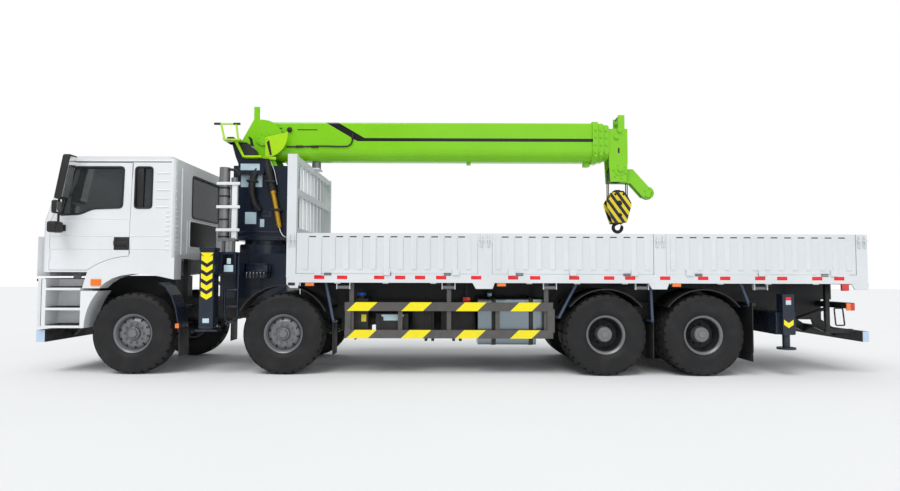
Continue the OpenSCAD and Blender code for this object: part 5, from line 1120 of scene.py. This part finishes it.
# Bed, chassis and hoist
BED_SIDE = 1.270
POSTS = ((0.367, 0.560), (2.796, 2.962), (5.593, 5.745))
MARKERS = (-1.949, 0.691, 3.105)
ROLLERS = (-1.490, -0.037, 1.365, 2.640, 4.285)
TAPE = (-1.887, -1.571, -1.062, -0.774, -0.500, -0.210, 0.271, 0.780, 1.083, 1.620, 2.102, 2.392, 2.874,
        3.398, 3.702, 4.185, 4.488, 4.972, 5.276)
GUARD_ENDS = ((-1.466, -1.386), (1.325, 1.430))
GUARD_SPAN = (0.590, 0.915)
FOOT_Y, FOOT_DEPTH = 1.246, 0.022
STAY_TOP = 1.290
STAYS = ((-1.748, -1.632, 0.730), (1.760, 1.502, 0.800), (2.780, 2.801, 0.740), (4.035, 4.158, 0.960))
GATES = ((-2.110, 0.357), (0.570, 2.786), (2.972, 5.583))


def span(y0, y1, out):
    """Two places across the vehicle on one side of it, the lower one first."""
    return (y0, y1) if out > 0 else (-y1, -y0)


def side_slab(bm, out, x, y, z, edge=0.003):
    across = span(*y, out)
    slab(bm, (x[0], across[0], z[0]), (x[1], across[1], z[1]), edge)


def side_blocks(name, finish, *rows):
    """A chassis piece of eased blocks on both sides; a row gives spans along X, Y and Z, and the edge."""
    bm = bmesh.new()
    for out in OUTS:
        for row in rows:
            side_slab(bm, out, *row)
    piece(bm, name, "chassis", finish)


def latch(bm, x, out):
    """A gate latch: a bent hook on a rod, with its eye on the post."""
    face = BED_SIDE + 0.004
    side_slab(bm, out, (x - 0.020, x + 0.020), (face - 0.004, face + 0.008), (1.770, 1.835))
    pipe(bm, [(x, out * (face + 0.010), 1.790), (x, out * (face + 0.022), 1.830),
              (x, out * (face + 0.022), 1.905), (x, out * (face - 0.010), 1.940)], 0.009, 0.025)
    bar(bm, (x - 0.030, out * (face + 0.022), 1.868), (x + 0.030, out * (face + 0.022), 1.868),
        0.008, sides=12)


def gate_latches():
    """Latches on the posts, the posts' feet and the cheeks of the rope rollers."""
    bm = bmesh.new()
    for out in OUTS:
        for x0, x1 in POSTS:
            for share in (0.25, 0.75):
                latch(bm, x0 + (x1 - x0) * share, out)
            flare = min(0.045, 5.760 - x1)
            plate(bm, [(x0 - 0.085, 1.290), (x1 + flare, 1.290), (x1 + flare * 0.2, 1.192),
                       (x0 - 0.030, 1.192)], out * FOOT_Y, out * FOOT_DEPTH, 0.004)
        for share in (0.30, 0.75):
            latch(bm, -2.270 + 0.130 * share, out)
        plate(bm, [(-2.268, 1.345), (-2.080, 1.345), (-2.080, 1.285), (-2.110, 1.199), (-2.215, 1.199),
                   (-2.268, 1.250)], out * FOOT_Y, out * FOOT_DEPTH, 0.004)
        for x in ROLLERS:
            for dx in (-0.095, 0.083):
                side_slab(bm, out, (x + dx, x + dx + 0.012), (1.165, 1.235), (1.185, 1.345))
    piece(bm, "gate_latches_and_brackets", "chassis", bed_white)


def rollers_and_hinges():
    bm = bmesh.new()
    for out in OUTS:
        for x in ROLLERS:
            bar(bm, *at_y(out * 1.200, (x - 0.086, 1.212), (x + 0.086, 1.212)), 0.026, sides=20, edge=0.004)
    piece(bm, "rope_rollers", "chassis", wheel_grey)
    bm = bmesh.new()
    for out in OUTS:
        for start, end in GATES:
            count = int((end - start) / 0.70)
            for k in range(count):
                x = start + (end - start) * (k + 0.5) / count
                for z in (1.382, 1.402):
                    bar(bm, (x - 0.050, out * 1.273, z), (x + 0.050, out * 1.273, z), 0.006, sides=10)
        side_slab(bm, out, (-2.245, -2.145), (1.262, 1.2705), (1.232, 1.275), 0.010)
        for x in MARKERS:
            side_slab(bm, out, (x - 0.070, x + 0.070), (1.238, 1.252), (1.222, 1.280))
    piece(bm, "gate_hinges_and_slots", "chassis", hose_rubber)


def side_lamps_and_tape():
    side_blocks("side_markers", lens_amber,
                *(((x - 0.060, x + 0.060), (1.250, 1.268), (1.228, 1.272), 0.008) for x in MARKERS),
                ((5.508, 5.568), (1.140, 1.162), (0.902, 1.006), 0.008))
    side_blocks("rail_tape_marks", tape_red,
                *(((x, x + 0.142), (1.2690, 1.2702), (1.322, 1.372), 0.0001) for x in TAPE))
    side_blocks("rear_side_lamps", lens_red,
                ((5.385, 5.490), (1.225, 1.262), (1.178, 1.276), 0.010),
                ((5.566, 5.626), (1.140, 1.162), (0.902, 1.006), 0.008))


def strap(bm, path, x, width, thick):
    """A flat strap round a closed path in Y and Z."""
    ring = [bm.verts.new((x, y, z)) for y, z in path]
    lines = [bm.edges.new(pair) for pair in zip(ring, ring[1:] + ring[:1])]
    pushed = bmesh.ops.extrude_edge_only(bm, edges=lines)["geom"]
    bmesh.ops.translate(bm, vec=(width, 0, 0), verts=only(bmesh.types.BMVert, pushed))
    faces = only(bmesh.types.BMFace, pushed)
    bmesh.ops.recalc_face_normals(bm, faces=faces)
    bmesh.ops.solidify(bm, geom=faces, thickness=-thick)


def box_path(y0, y1, z0, z1, radius):
    corners = [(0.0, y0, z0), (0.0, y1, z0), (0.0, y1, z1), (0.0, y0, z1)]
    return [(point.y, point.z) for point in eased(corners, radius, 6, True)]


def tank_fittings():
    """Straps and latches on the tanks and boxes, and the fuel cap."""
    bm = bmesh.new()
    for x in (0.565, 1.085):
        strap(bm, box_path(-1.101, -0.559, 0.406, 1.078, 0.11), x, 0.060, 0.006)
    strap(bm, box_path(-1.101, -0.619, 0.519, 1.051, 0.006), -1.300, 0.040, 0.005)
    for x in (-1.240, -0.500):
        strap(bm, [(0.690 + across, 0.860 + up) for across, up in round_points(40, 0.133)], x, 0.045, 0.005)
    for x in (-0.985, -0.705):
        slab(bm, (x, -1.114, 0.700), (x + 0.040, -1.098, 0.800), 0.005)
    turned(bm, [(0.0, 0.0), (0.064, 0.0), (0.066, 0.010), (0.060, 0.034), (0.040, 0.042), (0.0, 0.042)],
           (0.556, -0.830, 1.121), "Z", 32)
    slab(bm, (0.546, -0.880, 1.158), (0.566, -0.780, 1.172), 0.004)
    piece(bm, "tank_and_box_straps", "chassis", black_plastic)


def cap_and_labels():
    """The additive tank's ribbed cap, blank labels and the red air valve."""
    bm = bmesh.new()
    turned(bm, [(0.0, 0.0), (0.060, 0.0), (0.060, 0.030), (0.050, 0.044), (0.0, 0.046)],
           (-1.270, -0.990, 1.094), "Z", 32)
    for x, y in round_points(12, 0.059):
        at = Vector((-1.270 + x, -0.990 + y, 1.096))
        bar(bm, at, at + Vector((0, 0, 0.028)), 0.005, sides=8)
    piece(bm, "additive_cap", "chassis", cap_blue)
    blocks("additive_label_plate", "chassis", label_yellow, 0.002,
           ((-1.255, -1.105, 0.731), (-1.185, -1.098, 0.829)))
    blocks("battery_box_plate", "chassis", label_blank, 0.003,
           ((-0.972, -1.106, 0.746), (-0.665, -1.098, 0.830)))
    blocks("red_air_valve", "chassis", red_gloss, 0.010,
           ((0.164, -1.040, 1.000), (0.272, -0.960, 1.072)))


def flaps_and_boxes():
    """Mud flaps, the dark boxes on the left of the frame and the rear end of the fuel tank."""
    bm = bmesh.new()
    slab(bm, (0.208, -1.010, 1.062), (0.228, -0.990, 1.272), 0.003)
    for out in OUTS:
        for x, inner, low in ((-1.640, 0.872, 0.272), (2.795, 0.700, 0.226)):
            side_slab(bm, out, (x, x + 0.012), (inner, 1.190), (low, 0.752), 0.004)
        side_slab(bm, out, (-3.758, -3.746), (0.872, 1.195), (0.250, 0.640), 0.004)
        side_slab(bm, out, (4.146, 4.156), (0.630, 1.240), (0.200, 0.345), 0.003)
    piece(bm, "mud_flaps", "chassis", mat_rubber)
    bm = bmesh.new()
    for x0, x1, foot in ((-0.556, -0.234, -0.310), (-0.147, 0.350, 0.086)):
        side_slab(bm, -1, (x0, x1), (0.420, 0.900), (0.500, 0.870), 0.020)
        side_slab(bm, -1, (x0 + 0.030, x1 - 0.030), (0.896, 0.908), (0.540, 0.840), 0.004)
        for x in (foot - 0.068, foot + 0.028):
            side_slab(bm, -1, (x, x + 0.040), (0.520, 0.914), (0.442, 0.880), 0.006)
    side_slab(bm, -1, (-1.100, 0.480), (0.424, 0.440), (0.520, 0.860), 0.004)
    piece(bm, "frame_boxes", "chassis", mat_rubber)
    bm = bmesh.new()
    slab(bm, (1.110, -1.090, 0.560), (1.345, -0.570, 1.066), 0.050, None, 6)
    slab(bm, (1.200, -1.000, 0.700), (1.352, -0.660, 0.930), 0.012, None, 3)
    piece(bm, "fuel_tank_end", "chassis", tank_alloy)


def guard_ends_and_stays():
    side_blocks("guard_ends", guard_plain,
                *((along, (1.188, 1.2195), GUARD_SPAN, 0.006) for along in GUARD_ENDS))
    bm = bmesh.new()
    for out in OUTS:
        for top_x, x, z in STAYS:
            pipe(bm, [(top_x, out * 1.150, STAY_TOP), (x, out * 1.150, z)], 0.021)
            bar(bm, (x, out * 1.165, z), (x, out * 0.900, z), 0.018, sides=16, edge=0.004)
    piece(bm, "mudguard_stays", "chassis", stay_blue)
    # The amber reflectors take the lamp lens finish and so glow faintly, though they are no lamps: a painted
    # glow.
    side_blocks("guard_reflectors", lens_amber, ((-3.806, -3.752), (1.196, 1.208), (0.640, 0.704), 0.004))


def underbody():
    """Brake chambers and their push rods on the axles."""
    bm = bmesh.new()
    for row, x in AXLES.items():
        for out in OUTS:
            y = out * (0.560 if row > 2 else 0.470)
            turned(bm, [(0.0, -0.080), (0.070, -0.074), (0.086, -0.050), (0.088, 0.0), (0.094, 0.004),
                        (0.094, 0.016), (0.088, 0.020), (0.080, 0.070), (0.060, 0.090), (0.0, 0.094)],
                   (x + 0.200, y, 0.600), "X", 28)
            bar(bm, (x + 0.120, y, 0.600), (x, y, 0.600), 0.014, sides=12)
    piece(bm, "brake_chambers", "chassis", frame_black)


BLOCK_Z, BLOCK_FACE = 2.516, 0.118


def hoist_falls():
    """Four falls of rope that stretch between the boom's head and the hook block."""
    bm = bmesh.new()
    top, foot = SHEAVE_Z, BLOCK_Z
    for x in (2.492, 2.790):
        for y in (-0.045, 0.045):
            pipe(bm, [(x, y, top + (foot - top) * k / 24.0) for k in range(25)], 0.0088, sides=3)
    falls = piece(bm, "hoist_falls", None, wire_rope)
    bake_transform(falls)
    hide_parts("hoist_rope")


BLOCK = ((-0.078, 2.712), (0.070, 2.716), (0.134, 2.640), (0.194, 2.520), (0.190, 2.470), (0.116, 2.212),
         (-0.098, 2.200), (-0.188, 2.480), (-0.192, 2.530), (-0.126, 2.648))


def block_plates():
    bm = bmesh.new()
    for out in OUTS:
        plate(bm, [(HOOK_X + x, z) for x, z in BLOCK], out * 0.082, out * 0.036, 0.006)
    plates = piece(bm, "hook_block_plates", "hook_block", block_paint)
    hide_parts("hook_block")


def hook_and_sheaves():
    """Sheaves under a dark guard between the plates, and a forged hook on a nut below."""
    bm = bmesh.new()
    for y in (-0.045, 0.045):
        sheave(bm, (HOOK_X, y, BLOCK_Z), 0.040, 0.148, 0.014, 0.030, 0.022, 40)
    dome = [(0.0, 0.062), (0.045, 0.058), (0.078, 0.036), (0.084, 0.0)]
    turned(bm, dome, (HOOK_X, 0.0, 2.680), "Z", 32, False)
    for out in OUTS:
        bolt(bm, (HOOK_X, out * BLOCK_FACE, BLOCK_Z), (0, out, 0), 0.030, 0.018)
        bolt(bm, (HOOK_X + 0.010, out * BLOCK_FACE, 2.330), (0, out, 0), 0.022, 0.014)
        for x, z in ((-0.060, 2.660), (0.070, 2.660)):
            bolt(bm, (HOOK_X + x, out * BLOCK_FACE, z), (0, out, 0), 0.012, 0.012)
    slab(bm, (HOOK_X - 0.095, -0.080, 2.225), (HOOK_X + 0.110, 0.080, 2.300), 0.012)
    turned(bm, [(0.026, -0.040), (0.066, -0.036), (0.074, 0.0), (0.066, 0.030), (0.026, 0.034)],
           (HOOK_X, 0.0, 2.235), "Z", 36)
    bend = [math.radians(turn) for turn in range(0, 286, 12)]
    ring = [(HOOK_X - 0.068 * math.sin(turn), 0.0, 2.140 + 0.068 * math.cos(turn)) for turn in bend]
    pipe(bm, [(HOOK_X, 0.0, 2.240)] + ring, 0.027, 0.0, 6)
    bar(bm, ring[-1], Vector(ring[-1]) + Vector((0.006, 0.0, 0.030)), 0.026, 0.012, 24, 0.004)
    catch = Matrix.Rotation(math.radians(-14), 4, "Y")
    slab(bm, (HOOK_X + 0.052, -0.008, 2.135), (HOOK_X + 0.062, 0.008, 2.215), 0.003, catch)
    piece(bm, "hook_and_sheaves", "hook_block", frame_black)


def jack_caps():
    for side, out in SIDES:
        x = JACK_X[side]
        bm = bmesh.new()
        side_slab(bm, out, (x - 0.108, x + 0.108), (1.045, 1.262), (1.716, 1.754), 0.008)
        side_slab(bm, out, (x - 0.100, x + 0.100), (1.052, 1.256), (1.690, 1.718), 0.010)
        side_slab(bm, out, (x - 0.100, x + 0.100), (1.052, 1.257), (0.648, 0.690), 0.006)
        for dx in (-0.080, 0.080):
            bolt(bm, (x + dx, out * 1.262, 1.735), (0, out, 0), 0.010, 0.008)
        piece(bm, f"jack_cap_{side}", f"outrigger_{side}", navy_paint)
        bm = bmesh.new()
        side_slab(bm, out, (x - 0.045, x + 0.045), (1.248, 1.254), (0.716, 0.778), 0.002)
        piece(bm, f"jack_label_{side}", f"outrigger_{side}", label_blank)


def rear_frames():
    """Frames round the rear lamps with their posts, and plates on the rear jacks."""
    bm = bmesh.new()
    for out in OUTS:
        pipe(bm, at_y(out * 1.050, (5.400, 0.930), (5.520, 0.930), (5.545, 0.690), (5.420, 0.690)),
             0.010, 0.02, loop=True)
        side_slab(bm, out, (5.300, 5.360), (0.960, 1.020), (0.620, 1.270), 0.005)
        pipe(bm, [(5.330, out * 0.990, 0.930), (5.050, out * 0.700, 0.760)], 0.024)
        side_slab(bm, out, (5.300, 5.700), (0.940, 1.000), (0.575, 0.635), 0.006)
    piece(bm, "rear_lamp_frames", "chassis", frame_black)
    face = (4.612, 4.684), (1.2490, 1.2530)
    side_blocks("rear_jack_label_plates", label_blank, (*face, (0.985, 1.045), 0.001))
    side_blocks("rear_jack_red_plates", tape_red, (*face, (1.046, 1.090), 0.001))


gate_latches()
rollers_and_hinges()
side_lamps_and_tape()
tank_fittings()
cap_and_labels()
flaps_and_boxes()
guard_ends_and_stays()
underbody()
hoist_falls()
block_plates()
hook_and_sheaves()
jack_caps()
rear_frames()


# Soft pieces, cab room and control station
PRESSURE, LAST_FRAME = 4.0, 20
SEAT_Y = 0.580
GROOVE_REACH, GROOVE_PULL = 0.018, 0.05


def as_shown(thing):
    """A mesh of an object with its modifiers applied."""
    return bpy.data.meshes.new_from_object(thing.evaluated_get(bpy.context.evaluated_depsgraph_get()))


def under_pressure(pad):
    """The pad's mesh after some frames of Cloth under pressure, without gravity."""
    cloth = pad.modifiers.new("cloth", "CLOTH").settings
    cloth.use_pressure = True
    cloth.uniform_pressure_force = PRESSURE
    cloth.effector_weights.gravity = 0.0
    for moment in range(1, LAST_FRAME + 1):
        bpy.context.scene.frame_set(moment)
    return as_shown(pad)


def swollen(bm, cap, voxel):
    """A closed block blown up by Cloth under pressure, with no point moved further than the cap."""
    scene = bpy.context.scene
    mesh = bpy.data.meshes.new("pad")
    bm.to_mesh(mesh)
    bm.free()
    pad = bpy.data.objects.new("pad", mesh)
    scene.collection.objects.link(pad)
    knit = pad.modifiers.new("knit", "REMESH")
    knit.mode = "VOXEL"
    knit.voxel_size = voxel
    start = as_shown(pad)
    pad.modifiers.clear()
    pad.data = start
    blown = under_pressure(pad)
    made = bmesh.new()
    made.from_mesh(start)
    for corner, moved in zip(made.verts, blown.vertices):
        step = moved.co - corner.co
        corner.co += step * min(1.0, cap / max(step.length, 1e-6))
    scene.frame_set(1)
    bpy.data.objects.remove(pad)
    for spent in (mesh, start, blown):
        bpy.data.meshes.remove(spent)
    return made


def cushion(name, body, low, high, cap=0.020, voxel=0.010, groove=None, finish=None):
    """A stuffed cushion in a box, with sewn grooves across it where asked."""
    bm = bmesh.new()
    inset = Vector((cap, cap, cap))
    slab(bm, Vector(low) + inset, Vector(high) - inset, cap, None, 3)
    bm = swollen(bm, cap, voxel)
    middle = (Vector(low) + Vector(high)) / 2.0
    for axis, at in groove or ():
        for corner in bm.verts:
            far = abs(corner.co[axis] - at)
            if far < GROOVE_REACH:
                inward = middle.copy()
                inward[axis] = corner.co[axis]
                corner.co = corner.co.lerp(inward, GROOVE_PULL * (1.0 - far / GROOVE_REACH))
    bmesh.ops.smooth_vert(bm, verts=bm.verts, factor=0.5, use_axis_x=True, use_axis_y=True, use_axis_z=True)
    pad = piece(bm, name, body, finish or seat_grey, crease=80.0)


def dash_and_wheel():
    """Dash, steering wheel and seat plinths in the space of the CAD solids."""
    bm = bmesh.new()
    slab(bm, (-5.628, -1.060, 1.720), (-5.380, 1.060, 2.058), 0.040, None, 4)
    slab(bm, (-5.628, -1.060, 1.505), (-5.450, 1.060, 1.740), 0.020)
    slab(bm, (-5.480, -0.900, 2.030), (-5.372, -0.280, 2.090), 0.020, None, 3)
    for k in range(6):
        slab(bm, (-5.384, -0.180 + 0.110 * k, 1.860), (-5.374, -0.100 + 0.110 * k, 1.960), 0.004)
    bar(bm, *at_y(-SEAT_Y, (-5.420, 1.960), (-5.246, 2.076)), 0.024, sides=20)
    tilt = Matrix.Translation((-5.240, -SEAT_Y, 2.080)) @ Matrix.Rotation(math.radians(28), 4, "Y")
    pipe(bm, [tilt @ Vector((*spot, 0.0)) for spot in round_points(48, 0.222)], 0.016, 0.0, 5, True)
    for turn in (0.0, 0.36, 0.64):
        spoke = Vector((0.218 * math.cos(TURN * turn), 0.218 * math.sin(TURN * turn), 0.0))
        pipe(bm, [tilt @ Vector((0.03, 0, -0.01)), tilt @ spoke], 0.013)
    for out in OUTS:
        slab(bm, (-4.770, out * SEAT_Y - 0.165, 1.690), (-4.560, out * SEAT_Y + 0.165, 1.860), 0.015)
    room = piece(bm, "dash_and_wheel", "cab", grey_plastic)
    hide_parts("cab_interior")


def seats_and_bunk():
    for side, out in SIDES:
        y = out * SEAT_Y
        cushion(f"seat_base_{side}", "cab", (-4.900, y - 0.250, 1.850), (-4.460, y + 0.250, 1.980),
                groove=((1, y - 0.150), (1, y + 0.150)))
        cushion(f"seat_back_{side}", "cab", (-4.550, y - 0.250, 1.930), (-4.420, y + 0.250, 2.545),
                groove=((1, y - 0.150), (1, y + 0.150), (2, 2.300)))
    cushion("bunk_mattress", "cab", (-4.245, -1.075, 1.800), (-3.920, 1.075, 2.000), 0.025, 0.016)
    blocks("bunk_board", "cab", grey_plastic, 0.012, ((-4.245, -1.078, 1.692), (-3.920, 1.078, 1.806)))


RAIL_Y, RAIL_Z = -0.670, 3.620


def station_frame():
    """The frame and rail of the operator's saddle on the column."""
    bm = bmesh.new()
    plate(bm, [(-3.385, 3.370), (-3.257, 3.370), (-3.133, 3.140), (-2.850, 3.140), (-2.850, 3.170),
               (-3.111, 3.170), (-3.219, 3.393), (-3.385, 3.393)], -0.560, 0.209, 0.004)
    slab(bm, (-3.385, -0.698, 3.370), (-3.130, -0.350, 3.393), 0.005)
    slab(bm, (-3.094, -0.352, 3.140), (-2.894, -0.286, 3.170), 0.003)
    for route in (((-3.368, 3.380), (-3.424, RAIL_Z)), ((-3.200, RAIL_Z), (-3.165, 3.380))):
        pipe(bm, at_y(RAIL_Y, *route), 0.015)
    pipe(bm, at_y(RAIL_Y, (-3.526, RAIL_Z), (-3.187, RAIL_Z)), 0.0145)
    for x in (-3.395, -3.178):
        slab(bm, (x, -0.690, 3.385), (x + 0.040, -0.650, 3.405), 0.004)
    station = piece(bm, "station_frame", "column", lime_bright)
    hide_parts("operator_station")


def station_cabinet():
    """Cabinet, console with its levers and dials, and grips on the rail."""
    bm = bmesh.new()
    plate(bm, [(-3.330, 3.372), (-3.271, 3.165), (-3.224, 3.050), (-3.264, 2.897), (-2.834, 2.897),
               (-2.811, 3.142), (-3.124, 3.142), (-3.249, 3.372)], -0.470, 0.119, 0.008)
    piece(bm, "station_cabinet", "column", navy_paint)
    bm = bmesh.new()
    plate(bm, [(-3.229, 3.364), (-3.069, 3.364), (-2.954, 3.255), (-2.944, 3.168), (-3.126, 3.168)],
          -0.540, 0.170, 0.010)
    slab(bm, (-3.210, -0.545, 3.358), (-3.085, -0.365, 3.372), 0.006)
    for x in (-3.526, -3.240):
        bar(bm, *at_y(RAIL_Y, (x, RAIL_Z), (x + 0.100, RAIL_Z)), 0.0175, sides=20, edge=0.004)
    for k in range(5):
        y = -0.520 + 0.032 * k
        pipe(bm, [(-3.020, y, 3.310), (-3.035, y, 3.400), (-3.050, y, 3.440)], 0.005, 0.02)
        bar(bm, (-3.048, y, 3.432), (-3.056, y, 3.462), 0.011, 0.009, 14, 0.003)
    piece(bm, "station_console_and_levers", "column", black_plastic)
    bm = bmesh.new()
    for k in range(3):
        y = -0.510 + 0.055 * k
        bar(bm, (-3.010, y, 3.306), (-3.004, y, 3.312), 0.017, sides=20)
    slab(bm, (-3.190, -0.474, 2.960), (-2.900, -0.469, 3.060), 0.002)
    piece(bm, "station_dials_and_plate", "column", label_blank)


def station_seat():
    cushion("station_seat_pad", "column", (-3.367, -0.642, 3.391), (-3.230, -0.352, 3.442),
            0.010, 0.005, finish=seat_black)


dash_and_wheel()
seats_and_bunk()
station_frame()
station_cabinet()
station_seat()


# Studio
FLOOR_HALF = 60.0
SUNS = (("key_sun", 1.55, 35.0, (0.30, 0.62, -0.95)), ("fill_sun", 0.55, 60.0, (-0.45, 0.85, -0.30)))


def studio_light():
    """Soft light all round, dimmer in reflections, and white where the camera sees past the floor."""
    scene = bpy.context.scene
    scene.view_settings.view_transform = "Standard"
    world = bpy.data.worlds.new("studio")
    scene.world = world
    world.use_nodes = True
    world.node_tree.nodes.clear()
    pen = Wire(world.node_tree)
    ray = pen.node("ShaderNodeLightPath", out="Is Camera Ray")
    seen = ray.either(ray.out("Is Transmission Ray"))
    light = pen.node("ShaderNodeBackground", {}, {"Color": (0.95, 0.975, 1.0, 1.0), "Strength": 0.58})
    gloss = pen.node("ShaderNodeBackground", {}, {"Color": (0.97, 0.985, 1.0, 1.0), "Strength": 0.34})
    white = pen.node("ShaderNodeBackground", {}, {"Color": (1.0, 1.0, 1.0, 1.0), "Strength": 1.0})
    lit = pen.node("ShaderNodeMixShader", {}, {0: ray.out("Is Glossy Ray"), 1: light, 2: gloss})
    both = pen.node("ShaderNodeMixShader", {}, {0: seen, 1: lit, 2: white})
    pen.node("ShaderNodeOutputWorld", {}, {"Surface": both})


def studio_floor():
    bm = bmesh.new()
    bmesh.ops.create_grid(bm, x_segments=2, y_segments=2, size=FLOOR_HALF)
    mesh = bpy.data.meshes.new("studio_floor")
    bm.to_mesh(mesh)
    bm.free()
    floor = bpy.data.objects.new("studio_floor", mesh)
    bpy.context.collection.objects.link(floor)
    made, pen, spot = start_finish("studio_floor_pale")
    drift = cloud(pen, spot, 0.4)
    pale = drift.tint(colour(0.90, 0.905, 0.91), colour(0.93, 0.93, 0.93))
    close_finish(pen, None, Base_Color=pale, Roughness=drift * 0.1 + 0.85)
    mesh.materials.append(made)


def studio_suns():
    for name, power, spread, aim in SUNS:
        lamp = bpy.data.lights.new(name, "SUN")
        lamp.energy = power
        lamp.angle = math.radians(spread)
        holder = bpy.data.objects.new(name, lamp)
        holder.rotation_euler = Vector(aim).to_track_quat("-Z", "Y").to_euler()
        bpy.context.collection.objects.link(holder)


studio_light()
studio_floor()
studio_suns()
